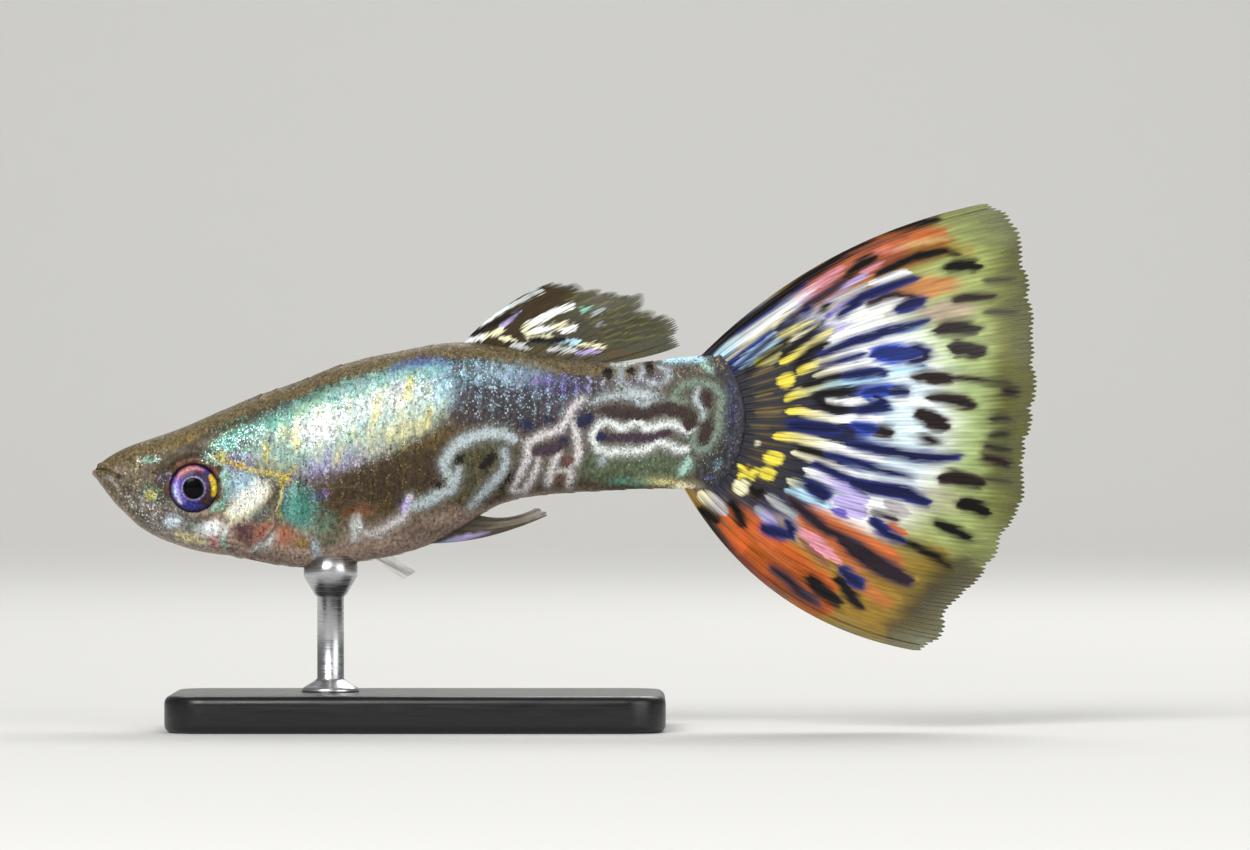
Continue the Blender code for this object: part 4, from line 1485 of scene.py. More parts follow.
@dataclass(frozen=True)
class EyeGlass:
    """Clear wet cornea over an iris of light-bending plates and a black pupil."""

    def make(self, name: str) -> Material:
        """Makes the material from the painted tint.

        Args:
            name: Its name.

        Returns:
            The material.
        """
        made, add, feed = new_finish(name)
        place = add("TexCoord", output="Object")
        tint = add("Attribute", output="Color", attribute_name="tint")
        grain = add("TexNoise", {"Vector": place, "Scale": 9000.0, "Detail": 2.0})
        shade = add("MapRange", (grain, 0.3, 0.7, 0.45, 1.5))
        lit = add("VectorMath", {0: tint, "Scale": shade}, **SCALED)
        feed({
            "Base Color": lit, "Roughness": 0.35, "Specular IOR Level": 0.05, "Coat Weight": 0.2,
            "Coat Roughness": 0.02, "Coat IOR": 1.38,
        })
        return made


@dataclass(frozen=True)
class Rubbed:
    """A hard surface with fine rub marks, drawn coarser than the real ones so that they show.

    Attributes:
        colour: Its colour.
        marks: Rub marks a metre along each axis.
        detail: Octaves of the marks.
        dull: Roughness between the marks and on them.
        depth: Strength of their relief.
        metal: 1 for a metal.
    """

    colour: str
    marks: tuple[float, float, float]
    detail: float
    dull: Pair
    depth: float
    metal: float = 0.0

    def make(self, name: str) -> Material:
        """Makes the material.

        Args:
            name: Its name.

        Returns:
            The material.
        """
        made, add, feed = new_finish(name)
        lines = add("Mapping", {"Vector": add("TexCoord", output="Object"), "Scale": self.marks})
        rub = add("TexNoise", {"Vector": lines, "Scale": 1.0, "Detail": self.detail})
        relief = add("Bump", {"Strength": self.depth, "Distance": 0.02 * MM, "Height": rub}, "Normal")
        feed({
            "Roughness": add("MapRange", (rub, 0.3, 0.7, *self.dull)), "Normal": relief,
            "Base Color": (*linear(self.colour), 1.0), "Metallic": self.metal,
        })
        return made


# Cast acrylic with a satin, lightly rubbed face, so that it shows soft highlights and faint hairlines. The
# real hairlines are a hundredth of a millimetre wide and are drawn at a tenth.
BLACK_ACRYLIC = Rubbed("#121214", (400.0, 9000.0, 9000.0), 4.0, (0.24, 0.42), 0.05)
# Stainless steel turned and brushed round its axis, so that its highlight is drawn out along it. The marks of
# a 400 grit belt are 0.02 mm wide and are drawn at 0.06 mm.
BRUSHED_STEEL = Rubbed("#c3c4c6", (500.0, 500.0, 16000.0), 3.0, (0.2, 0.44), 0.12, 1.0)


@dataclass(frozen=True)
class StudioPaper:
    """Matt pale background paper.

    Attributes:
        colour: Its colour.
    """

    colour: str = "#d2d1cd"

    def make(self, name: str) -> Material:
        """Makes the material.

        Args:
            name: Its name.

        Returns:
            The material.
        """
        made, _, feed = new_finish(name)
        feed({"Base Color": (*linear(self.colour), 1.0), "Roughness": 0.9})
        return made


# The fish

@dataclass(frozen=True)
class Livery:
    """Markings of the body, the same on its skin and on its scales.

    Attributes:
        back_depth: How far down from the back line the dark back reaches, in millimetres.
        warp: How far the marks of the far flank stand off those of the near one, in picture points.
    """

    back_depth: float = 0.95
    warp: float = 6.0

    def dress(self, mesh: Mesh, rows: Array, fullness: Array | float = 1.0) -> None:
        """Writes the markings onto a mesh.

        Args:
            mesh: The mesh.
            rows: Station, side and height of each of its points.
            fullness: How much of its glitter each point has.
        """
        station, side, height = rows.T
        spots = to_picture(rows)
        far = ease(side / 0.4)[:, None] * ease((station[:, None] - 8.0) / 4.0)
        spots = spots + (wandered(spots, 45.0, self.warp) - spots) * far
        rough = wandered(wandered(spots, 7.0, 2.2), 3.0, 1.0)
        canvas = Canvas.filled(rough, Ink.EARTH)
        canvas.paint(BODY_FIELDS)
        top = FORM.back.at(station)
        ragged = cloud(spots, 6.0, SEED + 5) * 0.12
        back = ease((height - top + self.back_depth + ragged) / 0.3)
        canvas.lay(Ink.TAN, back * 0.9 * ease((28.0 - station) / 3.0))
        crown = ease((height - top + 0.35 + ragged) / 0.3)
        canvas.lay(Ink.BARK, crown * 0.35)
        under = ease((FORM.belly.at(station) + 0.45 - height) / 0.4) * ease((26.0 - station) / 4.0)
        canvas.lay(Ink.BLUSH, under * 0.6)
        shine = Canvas.filled(rough, Ink.SAND)
        amount = np.zeros(len(spots))
        for mark in BODY_GLITTER:
            cover = mark.cover(rough)
            shine.lay(mark.ink, clamp(cover / mark.strength))
            amount += (mark.strength - amount) * cover / mark.strength
        shine.lay(Ink.MUSTARD, back * 0.8)
        amount = amount * (1 - back) + 0.3 * back
        # The plates lie on black cells, so the skin between them is dark where they are many.
        canvas.lay(Ink.SLATE, 0.7 * ease(amount))
        canvas.paint(BODY_LIGHTS)
        # The bright band is drawn in upright flames, as wide as a third of a scale.
        flame = cloud(rough * (1.0, 0.22), 5.0, SEED + 30) + 0.5 * cloud(rough * (1.0, 0.3), 2.6, SEED + 31)
        band = FLANK_BAND.cover(rough)
        canvas.lay(Ink.STRAW, band * 0.65 * ease((flame - 0.2) / 0.6))
        canvas.lay(Ink.SLATE, band * 0.4 * ease((-flame - 0.25) / 0.6))
        store(mesh, "tint", canvas.tint, colour=True)
        store(mesh, "shine", shine.tint, colour=True)
        store(mesh, "glitter", amount * fullness)
        store(mesh, "freckle", 0.2 + 0.3 * ease((9.0 - station) / 4.0))
        for layer in (NET, SPOTS):
            layer.write(mesh, spots)


@dataclass
class Skin:
    """One continuous skin over the head, the jaws, the gill covers, the trunk and the tail stalk.

    Attributes:
        inset: Depth under the solids' surface at which it lies, which leaves room for the scales.
        sides: Points round each ring.
        spacing: Last station of each stretch, and the step between its rings.
        fan_start: Station behind which the stalk flattens into the tail fin.
        fan_centre, fan_radius: Arc on which the flattened stalk ends.
        fan_rings, fan_edge: Number of its rings there, and half the thickness of its end.
        mouth, jaw_fold, gill_edge, cheek_fold: Lines that it is shaped along, as (station, height).
        nostrils: Station, height and radius of each.
        eye_spot, socket_radius: Middle and radius of the eye's socket.
        throat_folds: Height of each over the belly line.
    """

    inset: float = 0.06
    sides: int = 232
    spacing: Marks = ((3.0, 0.05), (10.0, 0.065), (27.0, 0.09))
    fan_start: float = 27.0
    fan_centre: Pair = (26.8, 7.2)
    fan_radius: float = 4.7
    fan_rings: int = 44
    fan_edge: float = 0.05
    mouth: Marks = ((-0.4, 4.8), (0.41, 4.77), (0.66, 4.71), (0.9, 4.58), (1.2, 4.4))
    jaw_fold: Marks = ((1.2, 4.4), (1.55, 4.05), (1.85, 3.6), (2.15, 3.0))
    nostrils: Marks = ((1.75, 5.2, 0.15), (2.75, 5.35, 0.19))
    eye_spot: Pair = (4.91, 3.9)
    socket_radius: float = 1.14
    gill_edge: Marks = (
        (7.1, -0.9), (7.4, 0.3), (8.3, 1.4), (8.95, 2.3), (9.25, 3.4), (9.15, 4.6), (8.6, 5.7), (8.0, 6.6),
    )
    cheek_fold: Marks = ((6.75, 5.6), (6.65, 4.6), (6.6, 3.2), (6.4, 1.9), (5.8, 1.1))
    throat_folds: Marks = (0.35, 0.62, 0.9)

    def shell(self, station: Array, angle: Array) -> Array:
        """Points of the plain skin, as (station, side, height).

        Args:
            station: Nominal stations; behind fan_start they run on to the arc where the stalk ends.
            angle: Angles round the body from its top.

        Returns:
            One row of three numbers for each pair.
        """
        along = clamp((station - self.fan_start) / (self.fan_radius - 0.5))
        nominal = np.where(along > 0, self.fan_start + along * 3.4, station)
        points = FORM.ring(nominal, angle)
        drop = np.clip(points[..., 2] - self.fan_centre[1], -self.fan_radius + 0.4, self.fan_radius - 0.4)
        end = self.fan_centre[0] + np.sqrt(self.fan_radius**2 - drop**2)
        points[..., 0] = np.where(along > 0, self.fan_start + along * (end - self.fan_start), points[..., 0])
        flat = np.sqrt(clamp(1 - along**1.7))
        half = np.maximum(np.abs(points[..., 1]) - self.inset, 0.0) * flat
        points[..., 1] = np.sign(points[..., 1]) * (half + self.fan_edge * (along > 0) * (1 - flat))
        middle = (FORM.back.at(nominal) + FORM.belly.at(nominal)) / 2
        points[..., 2] -= np.clip(points[..., 2] - middle, -1.0, 1.0) * self.inset
        points[..., 1] += FORM.sway(points[..., 0])
        return points

    def facing(self, station: Array, angle: Array) -> Array:
        """Outward directions of the plain skin.

        Args:
            station: Stations.
            angle: Angles round the body from its top.

        Returns:
            One row of three numbers for each pair.
        """
        ahead = self.shell(station + 0.02, angle) - self.shell(station - 0.02, angle)
        round_it = self.shell(station, angle + 0.01) - self.shell(station, angle - 0.01)
        return unit(np.cross(ahead, round_it))

    def relief(self, points: Array) -> Array:
        """Height of the skin's forms over the plain skin, in millimetres.

        Args:
            points: Station, side and height of each point.

        Returns:
            One height for each point.
        """
        station, side, height = points.T
        flat = np.stack([station, height], axis=1)
        gap, _ = way_to(self.mouth, flat)
        made = -0.15 * hump(gap, 0.065) + 0.09 * hump(gap - 0.2, 0.11)
        made += 0.1 * hump(gap, 0.4) * (height < 4.75) * (station < 0.5)
        gap, share = way_to(self.jaw_fold, flat)
        made -= 0.09 * hump(gap, 0.1) * (1 - share)
        for spot_station, spot_height, radius in self.nostrils:
            gap = np.hypot(station - spot_station, height - spot_height)
            made += -0.2 * hump(gap, radius * 0.75) + 0.06 * hump(gap - radius * 1.35, radius * 0.5)
        gap = np.hypot(station - self.eye_spot[0], height - self.eye_spot[1])
        socket = 1 - ease((gap - self.socket_radius + 0.1) / 0.16)
        gap = gap - self.socket_radius
        rim = 0.12 * hump(gap - 0.2, 0.2) - 0.05 * hump(gap - 0.62, 0.2)
        made = (made + rim) * (1 - socket) - 0.45 * socket
        edge = np.array(self.gill_edge)
        behind = station - np.interp(height, edge[:, 1], edge[:, 0])
        here = ease((6.8 - height) / 1.2) * (station > 4)
        cover = 0.1 * ease((behind + 1.2) / 1.0) * (behind < 0)
        made += here * (cover - 0.13 * np.exp(-np.maximum(behind, 0) / 0.5) * (behind >= 0))
        gap, _ = way_to(self.cheek_fold, flat)
        made -= 0.05 * hump(gap, 0.12)
        lowest = FORM.belly.at(station)
        for fold in self.throat_folds:
            made -= 0.035 * hump(height - lowest - fold, 0.06) * hump(station - 6.6, 1.6)
        made -= 0.16 * hump(np.hypot(station - 7.35, (height - lowest) * 1.5), 0.22)
        made += 0.012 * cloud(flat, 0.5, SEED + 9) + 0.008 * cloud(flat, 0.2, SEED + 10)
        return made

    def build(self, livery: Livery, finish: Material) -> Object:
        """Makes the skin.

        Args:
            livery: The body's markings.
            finish: The skin's material.

        Returns:
            The skin's object, which replaces every solid of flesh.
        """
        stations = [np.array([0.03])]
        start = 0.03
        for end, step in self.spacing:
            count = round((end - start) / step)
            stations.append(np.linspace(start, end, count + 1)[1:])
            start = end
        shares = np.linspace(0, 1, self.fan_rings + 1)[1:]
        stations.append(self.fan_start + (self.fan_radius - 0.5) * shares**0.8)
        stations = np.concatenate(stations)
        angles = np.linspace(0, 2 * pi, self.sides, endpoint=False)
        station, angle = (grid.ravel() for grid in np.meshgrid(stations, angles, indexing="ij"))
        points = self.shell(station, angle)
        fade = 1 - ease((station - self.fan_start) / 1.0)
        points += self.facing(station, angle) * (self.relief(points) * fade)[:, None]
        faces = grid_faces(len(stations), self.sides, around=True)
        front = len(points)
        points = np.concatenate([points, [(-0.02, 0.0, 4.62)]])
        faces += [(front, (k + 1) % self.sides, k) for k in range(self.sides)]
        last = front - self.sides
        half = self.sides // 2
        faces += [
            (last + k, last + k + 1, last + self.sides - k - 1, last + (self.sides - k) % self.sides)
            for k in range(1, half - 1)
        ]
        faces += [(last, last + 1, last + self.sides - 1), (last + half - 1, last + half, last + half + 1)]
        mesh = new_mesh("skin", row(points), faces)
        livery.dress(mesh, points)
        piece = new_piece("skin", mesh, finish)
        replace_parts(piece, "head", "lower_jaw", "gill_cover_left", "gill_cover_right", "trunk", "tail_stalk")
        return piece


@dataclass
class ScaleCoat:
    """Rows of thin rounded scales, each lapping over the next behind it.

    Attributes:
        strips: Rows of scales round the body.
        pitch_front, pitch_back: Distance from one scale to the next at the front and at the back.
        lap: How much longer and wider than its room a scale is.
        lift: How far its free edge stands off the skin.
        first, last: Stations between which scales grow.
        patch: Size of a scale's place on the unwrap of the skin.
    """

    strips: int = 24
    pitch_front: float = 0.8
    pitch_back: float = 0.6
    lap: float = 1.25
    lift: float = 0.022
    first: float = 6.4
    last: float = 28.4
    patch: float = 0.003

    def roots(self, skin: Skin) -> Mesh:
        """Points where the scales grow, with the directions and sizes that the tree reads.

        Args:
            skin: The skin that they grow on.

        Returns:
            A mesh of loose points.
        """
        edge = np.array(skin.gill_edge)
        found = []
        station, column = self.first, 0
        circle = np.linspace(0, 2 * pi, 721)
        while station < self.last:
            share = (station - self.first) / (self.last - self.first)
            pitch = self.pitch_front + (self.pitch_back - self.pitch_front) * share
            ring = skin.shell(np.full_like(circle, station), circle)
            run = run_along(ring)
            shares = (np.arange(self.strips) + 0.5 * (column % 2)) / self.strips
            angles = np.interp(shares * run[-1], run, circle)
            heights = skin.shell(np.full(self.strips, station), angles)[:, 2]
            collar = np.interp(heights, edge[:, 1], edge[:, 0])
            for angle, height, start in zip(angles, heights, collar):
                if station > start - 0.1 or (height > 6.9 and station > 6.9):
                    found.append((station, angle, pitch, run[-1] / self.strips))
            station += pitch
            column += 1
        stations, angles, lengths, widths = np.array(found).T
        points = skin.shell(stations, angles)
        mesh = bpy.data.meshes.new("scale roots")
        mesh.from_pydata(row(points).tolist(), [], [])
        back = skin.shell(stations + 0.05, angles) - skin.shell(stations - 0.05, angles)
        store(mesh, "outward", skin.facing(stations, angles))
        store(mesh, "rearward", unit(back))
        flat = np.zeros(len(stations))
        store(mesh, "room", np.stack([lengths * MM, widths * MM, flat + MM], axis=1))
        store(mesh, "spot", np.stack([stations / TOTAL_LENGTH, angles / (2 * pi), flat], axis=1))
        return mesh

    def tree(self, skin: Object) -> Growth:
        """Makes the tree that sets a bent, rounded scale on each root and lays it on the skin.

        Args:
            skin: The skin's object.

        Returns:
            The tree.
        """
        grow = Growth("lapped scales", {
            "Skin": skin, "Lap": self.lap, "Lift": self.lift * MM, "Patch": self.patch, "Points Along": 7,
            "Points Across": 8, "Seed": SEED,
        })
        add, given = grow.add, grow.given
        names = {"FLOAT_VECTOR": "outward rearward room spot", "FLOAT": "along across rise vigour"}
        kept = {
            name: add("GeometryNodeInputNamedAttribute", {"Name": name}, data_type=kind)
            for kind in names
            for name in names[kind].split()
        }
        keep = "GeometryNodeStoreNamedAttribute"
        here = add("GeometryNodeInputPosition")
        # One scale: a flat grid, rounded behind and bent up towards its free edge.
        grid = add("GeometryNodeMeshGrid", (1.0, 1.0, given["Points Along"], given["Points Across"]))
        axes = add("SeparateXYZ", (here,)).node.outputs
        along = add("Math", (axes["X"], 0.5), operation="ADD")
        across = add("Math", (axes["Y"], 2.0), **TIMES)
        square = add("Math", (across, across), **TIMES)
        tail = add("Math", (square, along), **TIMES)
        short = add("Math", (tail, -0.34, 1.0), operation="MULTIPLY_ADD")
        length = add("Math", (along, short), **TIMES)
        steep = add("Math", (along, 1.6), operation="POWER")
        flank = add("Math", (square, -0.75, 1.0), operation="MULTIPLY_ADD")
        rise = add("Math", (steep, flank), **TIMES)
        curve = add("CombineXYZ", (length, axes["Y"]))
        shaped = add("GeometryNodeSetPosition", {"Geometry": grid, "Position": curve})
        for name, value in (("along", along), ("across", across), ("rise", rise)):
            shaped = add(keep, {"Geometry": shaped, "Name": name, "Value": value})
        # Its place on the fish.
        turn = "FunctionNodeAlignRotationToVector"
        upright = add(turn, {"Vector": kept["outward"]}, axis="Z")
        turned = add(turn, {"Rotation": upright, "Vector": kept["rearward"]}, axis="X", pivot_axis="Z")
        size = add("VectorMath", {0: kept["room"], "Scale": given["Lap"]}, **SCALED)
        chance = add("FunctionNodeRandomValue", {2: 0.7, 3: 1.3, "Seed": given["Seed"]}, 1, data_type="FLOAT")
        roots = add(keep, {"Geometry": given["Start"], "Name": "vigour", "Value": chance})
        placing = {"Points": roots, "Instance": shaped, "Rotation": turned, "Scale": size}
        real = add("GeometryNodeRealizeInstances", (add("GeometryNodeInstanceOnPoints", placing),))
        # Each of its points is laid on the skin and lifted off it by its rise.
        info = "GeometryNodeObjectInfo"
        body = add(info, {"Object": given["Skin"]}, "Geometry", transform_space="ORIGINAL")
        foot, facing = (
            add("GeometryNodeSampleNearestSurface", {"Mesh": body, "Value": what}, data_type="FLOAT_VECTOR")
            for what in (here, add("GeometryNodeInputNormal"))
        )
        reach = add("Math", (kept["rise"], given["Lift"]), **TIMES)
        lively = add("Math", (reach, kept["vigour"]), **TIMES)
        clear = add("Math", (lively, 0.004 * MM), operation="ADD")
        step = add("VectorMath", {0: facing, "Scale": clear}, **SCALED)
        goal = add("VectorMath", (foot, step), operation="ADD")
        laid = add("GeometryNodeSetPosition", {"Geometry": real, "Position": goal})
        cell = add("CombineXYZ", (kept["along"], kept["across"]))
        inside = add("VectorMath", {0: cell, "Scale": given["Patch"]}, **SCALED)
        spot = add("VectorMath", (kept["spot"], inside), operation="ADD")
        unwrap = {"Geometry": laid, "Name": "OFBake", "Value": spot}
        mapped = add(keep, unwrap, data_type="FLOAT2", domain="CORNER")
        grow.close(add("GeometryNodeSetShadeSmooth", (mapped,)))
        return grow

    def build(self, skin: Skin, body: Object, livery: Livery, finish: Material) -> None:
        """Grows the scales on the skin and paints them as it is.

        Args:
            skin: The skin's form.
            body: The skin's object.
            livery: The body's markings.
            finish: The skin's material.
        """
        mesh = self.tree(body).grow(self.roots(skin), finish)
        along, across = (recall(mesh, name) for name in ("along", "across"))
        # A scale shines on its middle and is dull along its free edge.
        rim = ease((along - 0.7) / 0.3) + 0.5 * across**2 * along
        livery.dress(mesh, rows_of(mesh), 1.25 - 0.75 * clamp(rim))
        new_piece("scales", mesh, finish)


@dataclass
class Eye:
    """An eyeball that fills its socket: flat cornea, sunken iris and a bulging lens.

    Attributes:
        way: -1 for the left eye, which the camera sees, and 1 for the right one.
        node: The solid that it replaces.
        station, height: Its middle.
        radius, half_depth: Its radius in the side view and half its depth.
        bulge: How far it stands out of the flank.
        pupil: The pupil's radius.
        rings, sides: Points of its mesh from front to back and round it.
    """

    way: int
    node: str
    station: float = 4.91
    height: float = 3.9
    radius: float = 1.23125
    half_depth: float = 0.7092
    bulge: float = 0.4092
    pupil: float = 0.51
    rings: int = 72
    sides: int = 120

    def build(self, finish: Material) -> None:
        """Makes the eye, painted as the near one is.

        Args:
            finish: Its material.
        """
        turn, around = np.meshgrid(
            np.linspace(0, pi, self.rings + 2)[1:-1],
            np.linspace(0, 2 * pi, self.sides, endpoint=False), indexing="ij",
        )
        reach = np.sin(turn) * self.radius
        lens = 0.05 * ease((self.pupil - reach) / 0.16 + 0.3)
        iris = 0.05 * ease((reach - self.pupil) / 0.1) * ease((1.1 - reach) / 0.4)
        depth = np.cos(turn) * self.half_depth - (turn < pi / 2) * (0.05 - lens + iris)
        round_it = np.stack([reach * np.cos(around), depth, reach * np.sin(around)], axis=-1).reshape(-1, 3)
        poles = ((0.0, self.half_depth, 0.0), (0.0, -self.half_depth, 0.0))
        sunk = FORM.flank(self.station, self.height) + self.bulge - self.half_depth
        rows = (np.concatenate([round_it, poles]) + (0.0, sunk, 0.0)) * (1, self.way, 1)
        rows += (self.station, 0.0, self.height)
        front = len(round_it)
        last = front - self.sides
        faces = grid_faces(self.rings, self.sides, around=True)
        for k in range(self.sides):
            after = (k + 1) % self.sides
            faces += [(front, k, after), (front + 1, last + after, last + k)]
        mesh = new_mesh(self.node + "ball", row(rows), faces)
        canvas = Canvas.filled(to_picture(rows), Ink.SOOT)
        canvas.paint(EYE_MARKS)
        store(mesh, "tint", canvas.tint, colour=True)
        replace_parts(new_piece(self.node + "_ball", mesh, finish), self.node)


@dataclass
class RayFin:
    """A fin: a thin skin stretched over forked rays, from its first ray to its last and from root to edge.

    A place on it is (t, r): t runs from its first ray to its last, and r from its root to its edge.

    Attributes:
        name, node, slot: Names of the piece, of the solid that it replaces and of its material slot; slot is
            not used.
        rays: Number of rays at the root.
        forks: Shares of a ray's length at which it forks.
        columns, rows: Faces of the skin across and along the rays.
        girth, half_skin: Radius of a ray and half the thickness of the skin, both at the root.
        ink: The fin's ground colour.
        fields, layers: Its markings.
        clear: Clearness of its skin at the root, in the middle and at the edge.
        frill: How far the skin draws back between the ray tips, as a share of its length.
        streak: How far pigment is drawn out along the rays, as a share of their length.
        root_lines: Share of the length along which the rays show pale on a dark root.
        ray_veil: How much of the clearness its rays have.
        calm: How ragged its marks are at its root, as FinWeb has it.
    """

    name: str
    node: str
    slot: str
    rays: int
    forks: Marks = (0.36, 0.62)
    columns: int = 100
    rows: int = 60
    girth: float = 0.06
    half_skin: float = 0.03
    ink: Ink = Ink.SAND
    fields: Marks = ()
    layers: Marks = ()
    clear: tuple[float, float, float] = (0.1, 0.3, 0.8)
    frill: float = 0.03
    streak: float = 0.012
    root_lines: float = 0.0
    ray_veil: float = 0.8
    calm: float = 0.25

    def place(self, t: Array, r: Array) -> Array:
        """Points of the fin at places, as (station, side, height)."""
        raise NotImplementedError

    def clearness(self, t: Array, r: Array, rows: Array) -> Array:
        """Share of light that passes through the fin at places."""
        return np.interp(r, (0.0, 0.55, 0.8, 1.0), (*self.clear[:2], *self.clear[1:]))

    def edge_reach(self, t: Array, r: Array) -> Array:
        """Draws the fin's edge back between the tips of the rays.

        Args:
            t: Places across the rays.
            r: Places along them.

        Returns:
            The new places along them.
        """
        tips = self.rays * 2 ** len(self.forks)
        gap = np.abs(np.sin(pi * t * tips)) ** 0.7
        worn = self.frill * (0.25 + 0.5 * cloud(np.stack([t * tips, t], axis=-1), 2.3, SEED + 22))
        return r * (1 - (self.frill * (1 - gap) + np.maximum(worn, 0.0)) * ease((r - 0.8) / 0.2))

    def dress(self, mesh: Mesh, t: Array, r: Array, rows: Array) -> None:
        """Writes the markings, the clearness and the fin's own coordinates onto a mesh.

        Args:
            mesh: The mesh.
            t: Place of each of its points across the rays.
            r: Place along them.
            rows: Station, side and height.
        """
        # Pigment streaks are as wide as a strand of a ray and some ten times as long.
        strands = self.rays * 2 ** len(self.forks)
        web = np.stack([t * strands, r * strands / 10], axis=1)
        slide = self.streak * (cloud(web, 1.0, SEED + 20) + 0.6 * cloud(web, 0.5, SEED + 21))
        slid = clamp(r + slide * (0.2 + 0.8 * ease((r - 0.1) / 0.4)))
        drawn = self.place(t, slid)
        spots = to_picture(drawn)
        canvas = Canvas.filled(wandered(spots, 6.0, 1.5), self.ink)
        canvas.paint(self.fields)
        root = ease((self.root_lines - slid) / 0.12) * ease((slid - 0.07) / 0.06)
        root *= (0.5 - 0.5 * np.cos(2 * pi * t * self.rays)) ** 2
        canvas.lay(Ink.TAN, root * 0.7)
        store(mesh, "tint", canvas.tint, colour=True)
        for layer in self.layers:
            layer.write(mesh, spots)
        store(mesh, "clear", self.clearness(t, r, rows))
        store(mesh, "web", np.stack([t * strands, r * strands / 12, r], axis=1))

    def skin(self) -> Mesh:
        """Makes the fin's thin skin, closed round its edges.

        Returns:
            The skin's mesh.
        """
        columns, rows = self.columns + 1, self.rows + 1
        grid = np.meshgrid(np.linspace(0, 1, columns), np.linspace(0, 1, rows), indexing="ij")
        t, r = (places.ravel() for places in grid)
        drawn = self.edge_reach(t, r)
        middle = self.place(t, drawn)
        across = self.place(t + 0.002, drawn) - self.place(t - 0.002, drawn)
        along = self.place(t, drawn + 0.004) - self.place(t, drawn - 0.004)
        half = unit(np.cross(across, along)) * (self.half_skin * (1.1 - 0.6 * r))[:, None]
        count = len(t)
        near = grid_faces(columns, rows)
        far = [[k + count for k in reversed(face)] for face in near]
        index = np.arange(count).reshape(columns, rows)
        rim = np.concatenate([index[:-1, 0], index[-1, :-1], index[:0:-1, -1], index[0, :0:-1]])
        wall = [(a, b, b + count, a + count) for a, b in zip(rim, np.roll(rim, -1))]
        points = np.concatenate([middle + half, middle - half])
        mesh = new_mesh(self.name, row(points), near + far + wall)
        self.dress(mesh, np.tile(t, 2), np.tile(r, 2), points)
        return mesh

    def ray_lines(self) -> Mesh:
        """Draws the lines of the rays and their forks.

        Returns:
            A mesh of edges, with the girth that the tree reads at each point.
        """
        marks = (0.0, *self.forks, 1.0)
        lines = []
        for ray in range(self.rays):
            for level in range(len(marks) - 1):
                whole = ray in (0, self.rays - 1)
                parts = 1 if whole else 2**level
                for part in range(parts):
                    own = (ray + (part + 0.5) / parts) / self.rays
                    parent = (ray + (part // 2 + 0.5) / max(1, parts // 2)) / self.rays if parts > 1 else own
                    steps = max(4, round(self.rows * 1.4 * (marks[level + 1] - marks[level])))
                    r = np.linspace(marks[level], marks[level + 1], steps + 1)
                    t = parent + (own - parent) * ease((r - marks[level]) / 0.16)
                    girth = (1.08 - 0.62 * r) / (1 + 0.35 * (level if not whole else 0))
                    lines.append(np.stack([t, r, girth], axis=1))
        ends = np.cumsum([len(line) for line in lines])
        edges = [(k, k + 1) for end, line in zip(ends, lines) for k in range(end - len(line), end - 1)]
        t, r, girth = np.concatenate(lines).T
        points = self.place(t, self.edge_reach(t, r))
        mesh = bpy.data.meshes.new(self.name + " lines")
        mesh.from_pydata(row(points).tolist(), edges, [])
        self.dress(mesh, t, r, points)
        store(mesh, "girth", girth)
        return mesh

    def tree(self) -> Growth:
        """Makes the tree that turns the lines to tapering rays.

        Returns:
            The tree.
        """
        grow = Growth(self.name + " rays", {"Girth": self.girth * MM, "Sides": 6})
        add, given = grow.add, grow.given
        line = add("GeometryNodeMeshToCurve", (given["Start"],))
        girth = add("GeometryNodeInputNamedAttribute", {"Name": "girth"}, data_type="FLOAT")
        radius = add("Math", (girth, given["Girth"]), **TIMES)
        ring = add("GeometryNodeCurvePrimitiveCircle", {"Resolution": given["Sides"], "Radius": 1.0})
        sweep = {"Curve": line, "Profile Curve": ring, "Scale": radius, "Fill Caps": True}
        grow.close(add("GeometryNodeSetShadeSmooth", (add("GeometryNodeCurveToMesh", sweep),)))
        return grow

    def build(self) -> None:
        """Makes the fin's skin and its rays."""
        web = FinWeb(self.layers, calm=self.calm).make(self.name + " skin")
        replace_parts(new_piece(self.name + "_skin", self.skin(), web), self.node)
        bone = FinWeb(self.layers, self.ray_veil, calm=self.calm).make(self.name + " rays")
        new_piece(self.name + "_rays", self.tree().grow(self.ray_lines(), bone), bone)


@dataclass
class FlatFin(RayFin):
    """A fin in the fish's middle plane, fanned between a root line and an edge line.

    Attributes:
        edge: Points of its edge, as (station, height).
        bow_first, bow_last: How far its first and its last ray bend.
        ripple: How far it waves to the sides at its edge.
        ripples: Number of its waves.
        phase: Where they start.
    """

    edge: Marks = ()
    bow_first: float = 0.0
    bow_last: float = 0.0
    ripple: float = 0.0
    ripples: float = 1.0
    phase: float = 0.0

    def root(self, t: Array) -> Array:
        """Points of the root line, as (station, height)."""
        raise NotImplementedError

    def place(self, t: Array, r: Array) -> Array:
        """Places of the fin's points.

        Args:
            t: Places across the rays.
            r: Places along them.

        Returns:
            Station, side and height of each.
        """
        start = self.root(t)
        step = Line.along(self.edge).at(t) - start
        way = unit(step)
        bow = (self.bow_first + (self.bow_last - self.bow_first) * t) * 4 * r * (1 - r)
        flat = start + step * r[..., None] + np.stack([-way[..., 1], way[..., 0]], axis=-1) * bow[..., None]
        wave = self.ripple * r**2 * np.sin(2 * pi * self.ripples * t + self.phase)
        return np.stack([flat[..., 0], wave + FORM.sway(flat[..., 0]), flat[..., 1]], axis=-1)


